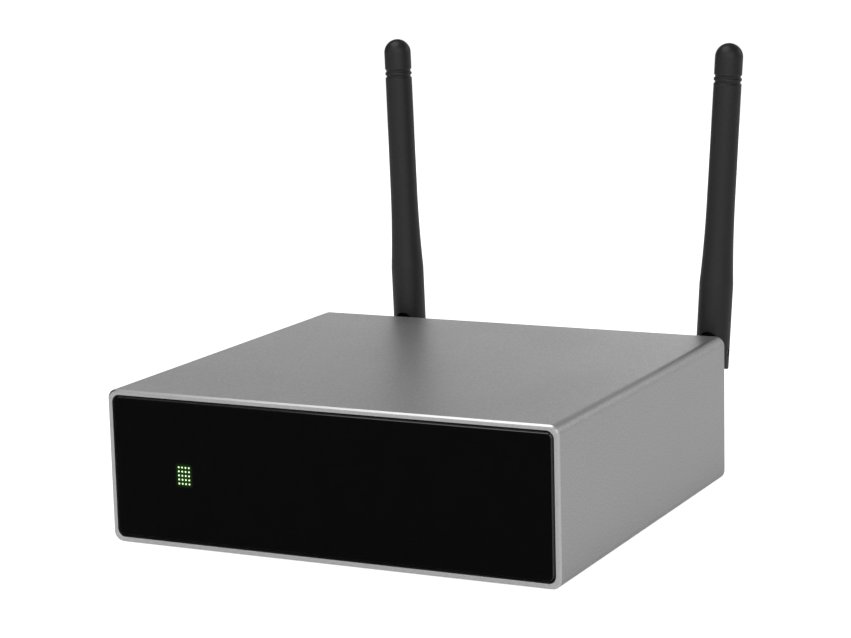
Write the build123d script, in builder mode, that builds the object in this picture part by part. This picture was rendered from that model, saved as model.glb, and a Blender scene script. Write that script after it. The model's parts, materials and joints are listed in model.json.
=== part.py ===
from build123d import *
from math import cos, pi, radians, sin
import os

os.makedirs("parts", exist_ok=True)

# A small streaming amplifier: an extruded aluminium sleeve closed by a black window at the front
# and a steel panel at the rear, with two folding antennas screwed to the rear panel.
# All sizes are in millimetres. X runs to the right as seen from the front, Y to the rear and Z up.
# The origin is on the table, under the middle of the sleeve's width and of the whole depth.
# Heights above the underside of the sleeve are called levels.

# Sleeve
housing_width = 160.0
housing_height = 51.2
housing_depth = 148.4
wall = 1.75
corner_radius = 3.3
inner_corner_radius = 2.6
front_chamfer = 0.62
rear_chamfer = 0.3

# Feet
foot_height = 2.0
foot_diameter = 12.0
foot_inset_x = 24.0
foot_inset_y = 20.0
foot_taper = 0.5

# Screw channels of the sleeve and the screws that go into them
screw_radius = 1.25
screw_head_radius = 2.25
screw_length = 10.0
screw_clearance = 0.1
channel_radius = 2.35
channel_offset = 2.9
channel_slot = 1.2

# Front window, its tape and the frame that carries it
window_gap = 0.45
window_set_back = 0.05
window_thickness = 2.0
window_chamfer = 0.65
tape_thickness = 0.25
tape_inset = 1.5
tape_width = 5.0
frame_thickness = 3.0
frame_clearance = 0.15

# Indicator: four columns and five rows of dots
dot_columns = 4
dot_rows = 5
dot_pitch_x = 1.27
dot_pitch_z = 1.35
dot_diameter = 0.65
indicator_inset = 28.03
indicator_level = 24.4
led_width = 0.8
led_height = 0.9
led_depth = 0.5
mask_margin = 2.0
mask_clearance = 0.1
indicator_board_width = 38.0
indicator_board_height = 20.0
indicator_board_thickness = 1.2
indicator_board_shift = 9.0
indicator_standoff = 0.7
stake_radius = 1.0
stake_spacing = 32.0
stake_clearance = 0.1
receiver_width = 6.0
receiver_height = 7.0
receiver_shift = 15.0
receiver_set_back = 0.3
receiver_lens_radius = 2.0
receiver_lens_height = 1.0
receiver_lens_rounding = 0.5

# Ribbon between the two boards
ribbon_width = 8.0
ribbon_thickness = 0.2
ribbon_bend = 4.0
ribbon_reach = 9.0
ribbon_socket_width = 10.5
ribbon_socket_size = 3.0

# Main board and the rails that hold it
board_level = 8.6
board_thickness = 1.6
board_side_gap = 0.3
board_front_gap = 3.0
board_rear_gap = 0.4
rail_depth = 2.2
rail_height = 1.2
rail_clearance = 0.2
notch_width = 42.0
notch_depth = 22.0

# Amplifier stage
chip_size = 9.0
chip_height = 1.0
chip_spacing = 22.0
sink_inset = 38.0
sink_y = 62.0
sink_width = 44.0
sink_depth = 32.0
sink_base = 3.0
sink_fin_height = 16.0
sink_fin_thickness = 1.4
sink_fins = 8
coil_size = 10.0
coil_rounding = 2.0
coil_height = 6.0
coil_spacing = 13.0
coil_count = 4
coil_y = 92.0
capacitor_radius = 6.25
capacitor_height = 22.0
capacitor_rounding = 0.8
capacitor_spacing = 16.0
capacitor_count = 3
capacitor_inset = 50.0
capacitor_y = 60.0

# Wireless module
module_inset = 44.0
module_y = 98.0
module_width = 30.0
module_depth = 24.0
module_thickness = 1.0
can_width = 26.0
can_depth = 16.0
can_height = 2.5
can_wall = 0.3

# Rear panel
panel_thickness = 2.0
panel_recess = 0.5
panel_clearance = 0.12
socket_clearance = 0.2

# Speaker posts, two rows of two
post_inset = 23.5
post_spacing_x = 19.0
post_low_level = 13.0
post_spacing_z = 14.5
post_hole_radius = 4.0
bushing_radius = 6.0
bushing_thickness = 2.5
bushing_ring_thickness = 1.5
shank_radius = 2.0
collar_radius = 4.6
collar_thickness = 1.0
stud_radius = 3.2
stud_length = 11.5
stud_tail = 8.0
banana_radius = 2.0
banana_depth = 10.8
wire_hole_radius = 1.3
wire_hole_offset = 2.4
post_nut_width = 7.0
post_nut_thickness = 2.4
insert_radius = 4.3
insert_length = 7.0
knob_radius = 5.6
knob_length = 13.0
knob_end_wall = 1.0
knob_mouth_radius = 2.6
knob_flutes = 14
knob_flute_radius = 0.7
knob_rounding = 0.8
knob_start = 0.3
running_clearance = 0.05
fixed_clearance = 0.02

# Phono block, two rows of two, half-way between the speaker posts and the optical socket
phono_spacing_x = 14.0
phono_spacing_z = 14.0
phono_low_height = 5.8
phono_block_depth = 11.5
phono_block_margin = 6.4
phono_nose_radius = 5.2
phono_nose_length = 1.2
phono_shell_radius = 4.15
phono_shell_wall = 0.5
phono_shell_length = 8.5
phono_pin_radius = 1.6
phono_pin_depth = 7.5
phono_insert_step = 0.4

# Optical socket with a hinged shutter
optical_inset = 72.0
optical_width = 9.7
optical_height = 10.2
optical_depth = 14.6
optical_mouth_width = 7.4
optical_mouth_height = 7.2
optical_cavity_depth = 12.1
optical_lip = 2.6
shutter_thickness = 0.8
shutter_gap = 0.3
shutter_pin_radius = 0.5
shutter_pin_reach = 0.7
shutter_pin_drop = 0.8

# Network socket
network_inset = 36.5
network_width = 15.9
network_height = 13.3
network_depth = 16.0
network_mouth_width = 11.8
network_mouth_height = 7.0
network_latch_width = 6.2
network_latch_height = 2.6
network_cavity_depth = 12.0
network_floor = 1.6
socket_proud = 0.4

# Serial bus socket
usb_inset = 56.0
usb_width = 13.1
usb_height = 5.7
usb_depth = 14.0
usb_wall = 0.35
usb_lift = 0.8
usb_tongue_width = 11.0
usb_tongue_thickness = 1.9
usb_tongue_depth = 9.0
usb_back = 3.0

# Direct-current inlet
inlet_inset = 19.0
inlet_width = 9.0
inlet_height = 11.0
inlet_depth = 13.0
inlet_nose_radius = 4.0
inlet_bore_radius = 3.0
inlet_bore_depth = 9.5
inlet_pin_radius = 1.0
inlet_pin_set_back = 1.0
inlet_pin_rounding = 0.5

# Set-up button and its switch
button_inset = 8.7
button_height = 3.2
button_radius = 1.7
button_rounding = 0.35
button_flange_radius = 2.4
button_flange_thickness = 0.8
button_proud = 0.9
button_travel = 0.5
button_gap = 0.2
switch_size = 6.0
switch_depth = 3.6
switch_plunger_radius = 1.0
switch_plunger_length = 1.2

# Antenna jacks
left_antenna_inset = 27.5
right_antenna_inset = 11.2
left_lean = -1.3
right_lean = 3.55
pivot_drop = 9.0
pivot_set_back = 19.0
jack_radius = 3.15
jack_reach = 7.6
jack_bore_radius = 2.3
jack_bore_depth = 4.0
jack_flange_width = 8.0
jack_flange_thickness = 2.5
jack_tail = 2.5
jack_tail_radius = 1.6
jack_nut_width = 8.0
jack_nut_thickness = 2.2
jack_washer_radius = 4.7
jack_washer_thickness = 0.4

# Antenna connector: a fixed core, a nut that turns on it and a swivel behind
core_flange_radius = 3.0
core_flange_thickness = 1.0
core_shank_radius = 2.2
core_head_radius = 3.0
core_head_thickness = 1.1
nut_radius = 4.8
nut_start = 3.0
nut_lip = 1.2
nut_flutes = 18
nut_flute_radius = 0.4
swivel_radius = 4.7
swivel_gap = 0.2
swivel_rim = 1.2
tongue_radius = 4.6
tongue_width = 6.6
tongue_clearance = 0.15
turning_gap = 0.25

# Antenna blade, with heights above the hinge pin
pin_radius = 1.3
pin_inset = 0.4
blade_foot_radius = 6.05
blade_waist_radius = 5.04
blade_neck_radius = 4.93
ear_radius = 6.1
slot_arch_height = 7.8
back_wall_start = 4.9
flare_start = 24.5
flare_end = 54.0
groove_width = 0.9
groove_depth = 0.4
groove_low = 96.35
groove_pitch = 2.0
cap_radius = 4.95
blade_tip = 110.5
spigot_radius = 3.4
spigot_length = 5.0
radiator_radius = 2.4
radiator_wall = 0.4
radiator_low = 20.0
radiator_length = 66.0
radiator_clearance = 0.15

# Cables inside the housing
speaker_lead_radius = 1.1
speaker_lead_reach = 18.0
speaker_lead_step = 7.0
speaker_lead_bend = 3.0
speaker_lead_end = 0.3
antenna_lead_radius = 0.7
antenna_lead_bend = 5.0
antenna_lead_reach = 16.0

# Places that follow from the sizes above
REAR = (0, 1, 0)
FRONT = (0, -1, 0)
front_y = -(housing_depth + pivot_set_back + blade_foot_radius) / 2
rear_y = front_y + housing_depth
base_z = foot_height
inner_width = housing_width - 2 * wall
inner_height = housing_height - 2 * wall
mid_level = housing_height / 2
left_side = -housing_width / 2
right_side = housing_width / 2
window_y = front_y + window_set_back
window_back_y = window_y + window_thickness
frame_y = window_back_y + tape_thickness
frame_back_y = frame_y + frame_thickness
panel_y = rear_y - panel_recess
panel_inner_y = panel_y - panel_thickness
channel_spacing_x = inner_width - 2 * channel_offset
channel_spacing_z = inner_height - 2 * channel_offset
board_top_level = board_level + board_thickness
board_top_z = base_z + board_top_level
indicator_board_y = frame_back_y + indicator_standoff
indicator_board_back_y = indicator_board_y + indicator_board_thickness
indicator_x = left_side + indicator_inset
indicator_board_x = indicator_x + indicator_board_shift
pivot_level = housing_height - pivot_drop
pivot_y = rear_y + pivot_set_back
sink_x = left_side + sink_inset
capacitor_x = right_side - capacitor_inset
module_x = right_side - module_inset
phono_low_level = board_top_level + phono_low_height

# Places across the rear, each measured from the nearer side of the sleeve
post_x = left_side + post_inset
left_antenna_x = left_side + left_antenna_inset
right_antenna_x = right_side - right_antenna_inset
optical_x = right_side - optical_inset
usb_x = right_side - usb_inset
network_x = right_side - network_inset
inlet_x = right_side - inlet_inset
button_x = right_side - button_inset
post_edge = post_x + post_spacing_x / 2 + bushing_radius
phono_x = (post_edge + optical_x - optical_width / 2) / 2


def section(y, level=0.0, x=0.0):
    """Plane across the housing at depth y, drawn as seen from the front."""
    return Plane(origin=(x, y, base_z + level), x_dir=(1, 0, 0), z_dir=FRONT)


def rear_section(y, level=0.0, x=0.0):
    """Plane across the housing at depth y that faces the rear, for holes drilled from there."""
    return Plane(origin=(x, y, base_z + level), x_dir=(-1, 0, 0), z_dir=REAR)


def top_plane(level):
    """Level plane at a height above the underside of the sleeve, its origin on the front edge."""
    return Plane(origin=(0, front_y, base_z + level))


# The sleeve: one extrusion with a screw channel in each corner and a pair of board rails
with BuildPart() as sleeve:
    with BuildSketch(section(front_y, mid_level)):
        RectangleRounded(housing_width, housing_height, corner_radius)
        RectangleRounded(inner_width, inner_height, inner_corner_radius, mode=Mode.SUBTRACT)
    extrude(amount=housing_depth, dir=REAR)
    with BuildSketch(section(frame_back_y, mid_level)):
        for side_x in (-1, 1):
            for side_z in (-1, 1):
                centre_x = side_x * channel_spacing_x / 2
                centre_z = side_z * channel_spacing_z / 2
                with Locations((centre_x, centre_z)):
                    Circle(channel_radius)
                web_x = centre_x + side_x * channel_offset / 2
                web_z = centre_z + side_z * channel_offset / 2
                with Locations((web_x, web_z)):
                    Rectangle(channel_offset, channel_offset)
                with Locations((centre_x, centre_z)):
                    Circle(screw_radius + screw_clearance, mode=Mode.SUBTRACT)
                with Locations((centre_x - side_x * channel_radius / 2, centre_z)):
                    Rectangle(channel_radius, channel_slot, mode=Mode.SUBTRACT)
            rail_x = side_x * (inner_width - rail_depth) / 2
            low_rail = board_level - rail_height / 2 - mid_level
            high_rail = low_rail + rail_height + board_thickness + rail_clearance
            with Locations((rail_x, low_rail), (rail_x, high_rail)):
                Rectangle(rail_depth, rail_height)
    extrude(amount=panel_inner_y - frame_back_y, dir=REAR)
    chamfer(sleeve.faces().sort_by(Axis.Y)[0].outer_wire().edges(), length=front_chamfer)
    chamfer(sleeve.faces().sort_by(Axis.Y)[-1].outer_wire().edges(), length=rear_chamfer)
sleeve.part.label = "sleeve"
export_step(sleeve.part, "parts/sleeve.step")

# Four rubber feet under the sleeve
with BuildPart() as rubber_feet:
    with BuildSketch(Plane.XY.offset(base_z)):
        with Locations((0, front_y + housing_depth / 2)):
            with GridLocations(housing_width - 2 * foot_inset_x, housing_depth - 2 * foot_inset_y, 2, 2):
                Circle(foot_diameter / 2)
    extrude(amount=-foot_height)
    chamfer(rubber_feet.faces().filter_by(Plane.XY).group_by(Axis.Z)[0].edges(), length=foot_taper)
rubber_feet.part.label = "rubber_feet"
export_step(rubber_feet.part, "parts/rubber_feet.step")

# The black window fills the front of the sleeve with an even gap all round
with BuildPart() as front_window:
    with BuildSketch(section(window_y, mid_level)):
        RectangleRounded(
            inner_width - 2 * window_gap, inner_height - 2 * window_gap, inner_corner_radius - window_gap
        )
    extrude(amount=window_thickness, dir=REAR)
    chamfer(front_window.faces().sort_by(Axis.Y)[0].edges(), length=window_chamfer)
front_window.part.label = "front_window"
export_step(front_window.part, "parts/front_window.step")

# A ring of foam tape holds the window on its frame
tape_outer_width = inner_width - 2 * (window_gap + tape_inset)
tape_outer_height = inner_height - 2 * (window_gap + tape_inset)
with BuildPart() as window_tape:
    with BuildSketch(section(window_back_y, mid_level)):
        Rectangle(tape_outer_width, tape_outer_height)
        Rectangle(tape_outer_width - 2 * tape_width, tape_outer_height - 2 * tape_width, mode=Mode.SUBTRACT)
    extrude(amount=tape_thickness, dir=REAR)
window_tape.part.label = "window_tape"
export_step(window_tape.part, "parts/window_tape.step")

# The moulded frame behind the window, screwed to the ends of the four channels
mask_width = dot_columns * dot_pitch_x + 2 * mask_margin
mask_height = dot_rows * dot_pitch_z + 2 * mask_margin
receiver_x = indicator_x + receiver_shift
with BuildPart() as front_frame:
    with BuildSketch(section(frame_y, mid_level)):
        RectangleRounded(
            inner_width - 2 * frame_clearance,
            inner_height - 2 * frame_clearance,
            inner_corner_radius - frame_clearance,
        )
    extrude(amount=frame_thickness, dir=REAR)
    with BuildSketch(section(frame_y)):
        with Locations((indicator_x, indicator_level)):
            Rectangle(mask_width + 2 * mask_clearance, mask_height + 2 * mask_clearance)
        with Locations((receiver_x, indicator_level)):
            Rectangle(receiver_width + 2 * mask_clearance, receiver_height + 2 * mask_clearance)
    extrude(amount=frame_thickness, dir=REAR, mode=Mode.SUBTRACT)
    with BuildSketch(section(frame_back_y, indicator_level, indicator_board_x)):
        with GridLocations(stake_spacing, indicator_board_height / 2, 2, 1):
            Circle(2 * stake_radius)
    extrude(amount=indicator_standoff, dir=REAR)
    with BuildSketch(section(indicator_board_y, indicator_level, indicator_board_x)):
        with GridLocations(stake_spacing, indicator_board_height / 2, 2, 1):
            Circle(stake_radius)
    extrude(amount=2 * indicator_board_thickness, dir=REAR)
    with Locations(section(frame_y, mid_level)):
        with GridLocations(channel_spacing_x, channel_spacing_z, 2, 2):
            CounterSinkHole(screw_radius + screw_clearance, screw_head_radius + screw_clearance)
front_frame.part.label = "front_frame"
export_step(front_frame.part, "parts/front_frame.step")

# The mask has one light channel for each dot
mask_back_y = frame_back_y + mask_clearance
with BuildPart() as dot_mask:
    with BuildSketch(section(window_back_y, indicator_level, indicator_x)):
        Rectangle(mask_width, mask_height)
        with GridLocations(dot_pitch_x, dot_pitch_z, dot_columns, dot_rows):
            Circle(dot_diameter / 2, mode=Mode.SUBTRACT)
    extrude(amount=mask_back_y - window_back_y, dir=REAR)
dot_mask.part.label = "dot_mask"
export_step(dot_mask.part, "parts/dot_mask.step")

# The board behind the mask sits on the stakes of the frame
with BuildPart() as indicator_board:
    with BuildSketch(section(indicator_board_y, indicator_level, indicator_board_x)):
        Rectangle(indicator_board_width, indicator_board_height)
        with GridLocations(stake_spacing, indicator_board_height / 2, 2, 1):
            Circle(stake_radius + stake_clearance, mode=Mode.SUBTRACT)
    extrude(amount=indicator_board_thickness, dir=REAR)
indicator_board.part.label = "indicator_board"
export_step(indicator_board.part, "parts/indicator_board.step")

# One lamp for each dot, soldered on the front of its board
with BuildPart() as indicator_leds:
    with BuildSketch(section(indicator_board_y, indicator_level, indicator_x)):
        with GridLocations(dot_pitch_x, dot_pitch_z, dot_columns, dot_rows):
            Rectangle(led_width, led_height)
    extrude(amount=led_depth, dir=FRONT)
indicator_leds.part.label = "indicator_leds"
export_step(indicator_leds.part, "parts/indicator_leds.step")

# The remote-control receiver looks out through the window beside the dots
receiver_depth = indicator_board_y - window_back_y - receiver_set_back
receiver_body_depth = receiver_depth - receiver_lens_height
with BuildPart() as remote_receiver:
    with BuildSketch(section(indicator_board_y, indicator_level, receiver_x)):
        Rectangle(receiver_width, receiver_height)
    extrude(amount=receiver_body_depth, dir=FRONT)
    with BuildSketch(section(indicator_board_y - receiver_body_depth, indicator_level, receiver_x)):
        Circle(receiver_lens_radius)
    extrude(amount=receiver_lens_height, dir=FRONT)
    fillet(remote_receiver.faces().sort_by(Axis.Y)[0].edges(), receiver_lens_rounding)
remote_receiver.part.label = "remote_receiver"
export_step(remote_receiver.part, "parts/remote_receiver.step")

# Two ribbon sockets, one behind the indicator board and one on the main board
ribbon_level = indicator_level
ribbon_end_y = indicator_board_back_y + ribbon_socket_size + ribbon_reach
with BuildPart() as ribbon_sockets:
    with BuildSketch(section(indicator_board_back_y, ribbon_level, indicator_board_x)):
        Rectangle(ribbon_socket_width, ribbon_socket_size)
    extrude(amount=ribbon_socket_size, dir=REAR)
    with BuildSketch(Plane(origin=(indicator_board_x, ribbon_end_y, board_top_z))):
        Rectangle(ribbon_socket_width, ribbon_socket_size)
    extrude(amount=ribbon_socket_size)
ribbon_sockets.part.label = "ribbon_sockets"
export_step(ribbon_sockets.part, "parts/ribbon_sockets.step")

# The ribbon leaves the upper socket to the rear and bends down into the lower one
with BuildPart() as ribbon_cable:
    with BuildSketch(Plane.YZ.offset(indicator_board_x)):
        with BuildLine():
            FilletPolyline(
                (indicator_board_back_y + ribbon_socket_size, base_z + ribbon_level - ribbon_thickness / 2),
                (ribbon_end_y - ribbon_thickness / 2, base_z + ribbon_level - ribbon_thickness / 2),
                (ribbon_end_y - ribbon_thickness / 2, board_top_z + ribbon_socket_size),
                radius=ribbon_bend,
            )
            FilletPolyline(
                (indicator_board_back_y + ribbon_socket_size, base_z + ribbon_level + ribbon_thickness / 2),
                (ribbon_end_y + ribbon_thickness / 2, base_z + ribbon_level + ribbon_thickness / 2),
                (ribbon_end_y + ribbon_thickness / 2, board_top_z + ribbon_socket_size),
                radius=ribbon_bend + ribbon_thickness,
            )
            Line(
                (indicator_board_back_y + ribbon_socket_size, base_z + ribbon_level - ribbon_thickness / 2),
                (indicator_board_back_y + ribbon_socket_size, base_z + ribbon_level + ribbon_thickness / 2),
            )
            Line(
                (ribbon_end_y - ribbon_thickness / 2, board_top_z + ribbon_socket_size),
                (ribbon_end_y + ribbon_thickness / 2, board_top_z + ribbon_socket_size),
            )
        make_face()
    extrude(amount=ribbon_width / 2, both=True)
ribbon_cable.part.label = "ribbon_cable"
export_step(ribbon_cable.part, "parts/ribbon_cable.step")

# The main board slides in the rails and leaves a corner free for the speaker posts
board_width = inner_width - 2 * board_side_gap
board_front = frame_back_y + board_front_gap - front_y
board_depth = panel_inner_y - board_rear_gap - front_y - board_front
with BuildPart() as main_board:
    with BuildSketch(top_plane(board_level)):
        with Locations((0, board_front + board_depth / 2)):
            Rectangle(board_width, board_depth)
        with Locations(((notch_width - board_width) / 2, board_front + board_depth - notch_depth / 2)):
            Rectangle(notch_width, notch_depth, mode=Mode.SUBTRACT)
    extrude(amount=board_thickness)
main_board.part.label = "main_board"
export_step(main_board.part, "parts/main_board.step")

# Two amplifier chips under a finned heat sink
with BuildPart() as amplifier_chips:
    with BuildSketch(top_plane(board_top_level)):
        with Locations((sink_x, sink_y)):
            with GridLocations(chip_spacing, chip_size, 2, 1):
                Rectangle(chip_size, chip_size)
    extrude(amount=chip_height)
amplifier_chips.part.label = "amplifier_chips"
export_step(amplifier_chips.part, "parts/amplifier_chips.step")

sink_level = board_top_level + chip_height
fin_pitch = (sink_width - sink_fin_thickness) / (sink_fins - 1)
with BuildPart() as heat_sink:
    with BuildSketch(top_plane(sink_level)):
        with Locations((sink_x, sink_y)):
            Rectangle(sink_width, sink_depth)
    extrude(amount=sink_base)
    with BuildSketch(top_plane(sink_level + sink_base)):
        with Locations((sink_x, sink_y)):
            with GridLocations(fin_pitch, sink_depth, sink_fins, 1):
                Rectangle(sink_fin_thickness, sink_depth)
    extrude(amount=sink_fin_height)
heat_sink.part.label = "heat_sink"
export_step(heat_sink.part, "parts/heat_sink.step")

# Output filter coils in a row behind the heat sink
with BuildPart() as filter_coils:
    with BuildSketch(top_plane(board_top_level)):
        with Locations((sink_x, coil_y)):
            with GridLocations(coil_spacing, coil_size, coil_count, 1):
                RectangleRounded(coil_size, coil_size, coil_rounding)
    extrude(amount=coil_height)
filter_coils.part.label = "filter_coils"
export_step(filter_coils.part, "parts/filter_coils.step")

# Supply capacitors
with BuildPart() as supply_capacitors:
    with BuildSketch(top_plane(board_top_level)):
        with Locations((capacitor_x, capacitor_y)):
            with GridLocations(capacitor_spacing, capacitor_spacing, capacitor_count, 1):
                Circle(capacitor_radius)
    extrude(amount=capacitor_height)
    fillet(supply_capacitors.faces().filter_by(Plane.XY).group_by(Axis.Z)[-1].edges(), capacitor_rounding)
supply_capacitors.part.label = "supply_capacitors"
export_step(supply_capacitors.part, "parts/supply_capacitors.step")

# The wireless module and the can that screens it
with BuildPart() as wireless_module:
    with BuildSketch(top_plane(board_top_level)):
        with Locations((module_x, module_y)):
            Rectangle(module_width, module_depth)
    extrude(amount=module_thickness)
wireless_module.part.label = "wireless_module"
export_step(wireless_module.part, "parts/wireless_module.step")

can_y = module_y - (module_depth - can_depth) / 2 + can_wall
module_top_level = board_top_level + module_thickness
with BuildPart() as shield_can:
    with BuildSketch(top_plane(module_top_level)):
        with Locations((module_x, can_y)):
            Rectangle(can_width, can_depth)
    extrude(amount=can_height)
    offset(amount=-can_wall, openings=shield_can.faces().sort_by(Axis.Z)[0])
shield_can.part.label = "shield_can"
export_step(shield_can.part, "parts/shield_can.step")

# Places of the sockets on the rear panel
post_places = [
    (post_x + step_x * post_spacing_x / 2, post_low_level + step_z * post_spacing_z)
    for step_x in (-1, 1)
    for step_z in (0, 1)
]
phono_places = [
    (phono_x + step_x * phono_spacing_x / 2, phono_low_level + step_z * phono_spacing_z)
    for step_x in (-1, 1)
    for step_z in (0, 1)
]
antenna_places = [(left_antenna_x, pivot_level), (right_antenna_x, pivot_level)]
optical_level = board_top_level + optical_height / 2
network_level = board_top_level + network_height / 2
usb_level = board_top_level + usb_lift + usb_height / 2
inlet_level = board_top_level + inlet_height / 2
button_level = board_top_level + button_height

# The rear panel sits in the sleeve against the ends of the channels
with BuildPart() as rear_panel:
    with BuildSketch(section(panel_inner_y, mid_level)):
        RectangleRounded(
            inner_width - 2 * panel_clearance,
            inner_height - 2 * panel_clearance,
            inner_corner_radius - panel_clearance,
        )
    extrude(amount=panel_thickness, dir=REAR)
    with BuildSketch(section(panel_inner_y)):
        with Locations(*post_places):
            Circle(post_hole_radius)
        with Locations(*phono_places):
            Circle(phono_nose_radius + socket_clearance)
        with Locations(*antenna_places):
            Circle(jack_radius + socket_clearance)
        with Locations((optical_x, optical_level)):
            Rectangle(optical_width + 2 * socket_clearance, optical_height + 2 * socket_clearance)
        with Locations((network_x, network_level)):
            Rectangle(network_width + 2 * socket_clearance, network_height + 2 * socket_clearance)
        with Locations((usb_x, usb_level)):
            Rectangle(usb_width + 2 * socket_clearance, usb_height + 2 * socket_clearance)
        with Locations((inlet_x, inlet_level)):
            Circle(inlet_nose_radius + socket_clearance)
        with Locations((button_x, button_level)):
            Circle(button_radius + socket_clearance)
    extrude(amount=panel_thickness, dir=REAR, mode=Mode.SUBTRACT)
    with Locations(rear_section(panel_y, mid_level)):
        with GridLocations(channel_spacing_x, channel_spacing_z, 2, 2):
            CounterSinkHole(screw_radius + screw_clearance, screw_head_radius + screw_clearance)
rear_panel.part.label = "rear_panel"
export_step(rear_panel.part, "parts/rear_panel.step")

# Eight countersunk screws, four in the front frame and four in the rear panel
screw_head_depth = screw_head_radius - screw_radius
with BuildPart() as case_screws:
    for screw_plane in (section(frame_y, mid_level), rear_section(panel_y, mid_level)):
        with Locations(screw_plane):
            with GridLocations(channel_spacing_x, channel_spacing_z, 2, 2):
                Cylinder(screw_radius, screw_length, align=(Align.CENTER, Align.CENTER, Align.MAX))
                Cone(
                    screw_radius,
                    screw_head_radius,
                    screw_head_depth,
                    align=(Align.CENTER, Align.CENTER, Align.MAX),
                )
case_screws.part.label = "case_screws"
export_step(case_screws.part, "parts/case_screws.step")

# Levels along a speaker post, outwards from the rear panel
flange_y = panel_y + bushing_thickness
stud_y = flange_y + collar_thickness
ring_y = panel_inner_y - bushing_ring_thickness
post_nut_y = ring_y - post_nut_thickness
tail_y = panel_inner_y - stud_tail
bore_radius = shank_radius + fixed_clearance
boss_radius = post_hole_radius - socket_clearance / 2

# Insulating bushings: a flanged one outside and a ring inside for each post
with BuildPart() as post_bushings:
    with BuildSketch(section(panel_y)):
        with Locations(*post_places):
            Circle(bushing_radius)
    extrude(amount=bushing_thickness, dir=REAR)
    chamfer(post_bushings.faces().group_by(Axis.Y)[-1].edges(), length=socket_clearance)
    with BuildSketch(section(panel_y)):
        with Locations(*post_places):
            Circle(boss_radius)
    extrude(amount=panel_thickness, dir=FRONT)
    with BuildSketch(section(panel_inner_y)):
        with Locations(*post_places):
            Circle(bore_radius)
    extrude(amount=flange_y - panel_inner_y, dir=REAR, mode=Mode.SUBTRACT)
    with BuildSketch(section(ring_y)):
        with Locations(*post_places):
            Circle(bushing_radius - socket_clearance)
            Circle(bore_radius, mode=Mode.SUBTRACT)
    extrude(amount=bushing_ring_thickness - fixed_clearance, dir=REAR)
post_bushings.part.label = "post_bushings"
export_step(post_bushings.part, "parts/post_bushings.step")

# Studs with a collar, a bore for a banana plug and a cross hole for bare wire
with BuildPart() as post_studs:
    with BuildSketch(section(tail_y)):
        with Locations(*post_places):
            Circle(shank_radius)
    extrude(amount=flange_y - tail_y, dir=REAR)
    with BuildSketch(section(flange_y)):
        with Locations(*post_places):
            Circle(collar_radius)
    extrude(amount=collar_thickness, dir=REAR)
    with BuildSketch(section(stud_y)):
        with Locations(*post_places):
            Circle(stud_radius)
    extrude(amount=stud_length, dir=REAR)
    with BuildSketch(section(stud_y + stud_length)):
        with Locations(*post_places):
            Circle(banana_radius)
    extrude(amount=banana_depth, dir=FRONT, mode=Mode.SUBTRACT)
    for post_place in post_places:
        wire_level = base_z + post_place[1] - collar_radius
        with BuildSketch(Plane(origin=(post_place[0], stud_y + wire_hole_offset, wire_level))):
            Circle(wire_hole_radius)
        extrude(amount=2 * collar_radius, mode=Mode.SUBTRACT)
post_studs.part.label = "post_studs"
export_step(post_studs.part, "parts/post_studs.step")

with BuildPart() as post_nuts:
    with BuildSketch(section(post_nut_y)):
        with Locations(*post_places):
            RegularPolygon(post_nut_width / 2, 6, major_radius=False)
            Circle(bore_radius, mode=Mode.SUBTRACT)
    extrude(amount=post_nut_thickness, dir=REAR)
post_nuts.part.label = "post_nuts"
export_step(post_nuts.part, "parts/post_nuts.step")

# Each post has a threaded insert that travels along the stud and a fluted knob that turns it
post_by_name = {
    "left_positive": post_places[1],
    "left_negative": post_places[3],
    "right_positive": post_places[0],
    "right_negative": post_places[2],
}
insert_y = stud_y + 2 * running_clearance
knob_y = stud_y + knob_start
knob_step_y = insert_y + insert_length + running_clearance
knob_end_y = knob_y + knob_length
for post_name, (post_place_x, post_place_level) in post_by_name.items():
    with BuildPart() as knob_insert:
        with BuildSketch(section(insert_y, post_place_level, post_place_x)):
            Circle(insert_radius)
            Circle(stud_radius + running_clearance, mode=Mode.SUBTRACT)
        extrude(amount=insert_length, dir=REAR)
    knob_insert.part.label = post_name + "_insert"
    export_step(knob_insert.part, "parts/" + post_name + "_insert.step")

    with BuildPart() as post_knob:
        with BuildSketch(section(knob_y, post_place_level, post_place_x)):
            Circle(knob_radius)
        extrude(amount=knob_length, dir=REAR)
        fillet(post_knob.faces().sort_by(Axis.Y)[-1].edges(), knob_rounding)
        with BuildSketch(section(knob_y, post_place_level, post_place_x)):
            with PolarLocations(knob_radius + knob_flute_radius / 2, knob_flutes):
                Circle(knob_flute_radius)
        extrude(amount=knob_length - 2 * knob_rounding, dir=REAR, mode=Mode.SUBTRACT)
        with BuildSketch(section(knob_y, post_place_level, post_place_x)):
            Circle(insert_radius + running_clearance)
        extrude(amount=knob_step_y - knob_y, dir=REAR, mode=Mode.SUBTRACT)
        with BuildSketch(section(knob_step_y, post_place_level, post_place_x)):
            Circle(stud_radius + 2 * running_clearance)
        extrude(amount=knob_end_y - knob_end_wall - knob_step_y, dir=REAR, mode=Mode.SUBTRACT)
        with BuildSketch(section(knob_end_y, post_place_level, post_place_x)):
            Circle(knob_mouth_radius)
        extrude(amount=knob_end_wall, dir=FRONT, mode=Mode.SUBTRACT)
    post_knob.part.label = post_name + "_knob"
    export_step(post_knob.part, "parts/" + post_name + "_knob.step")

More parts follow.
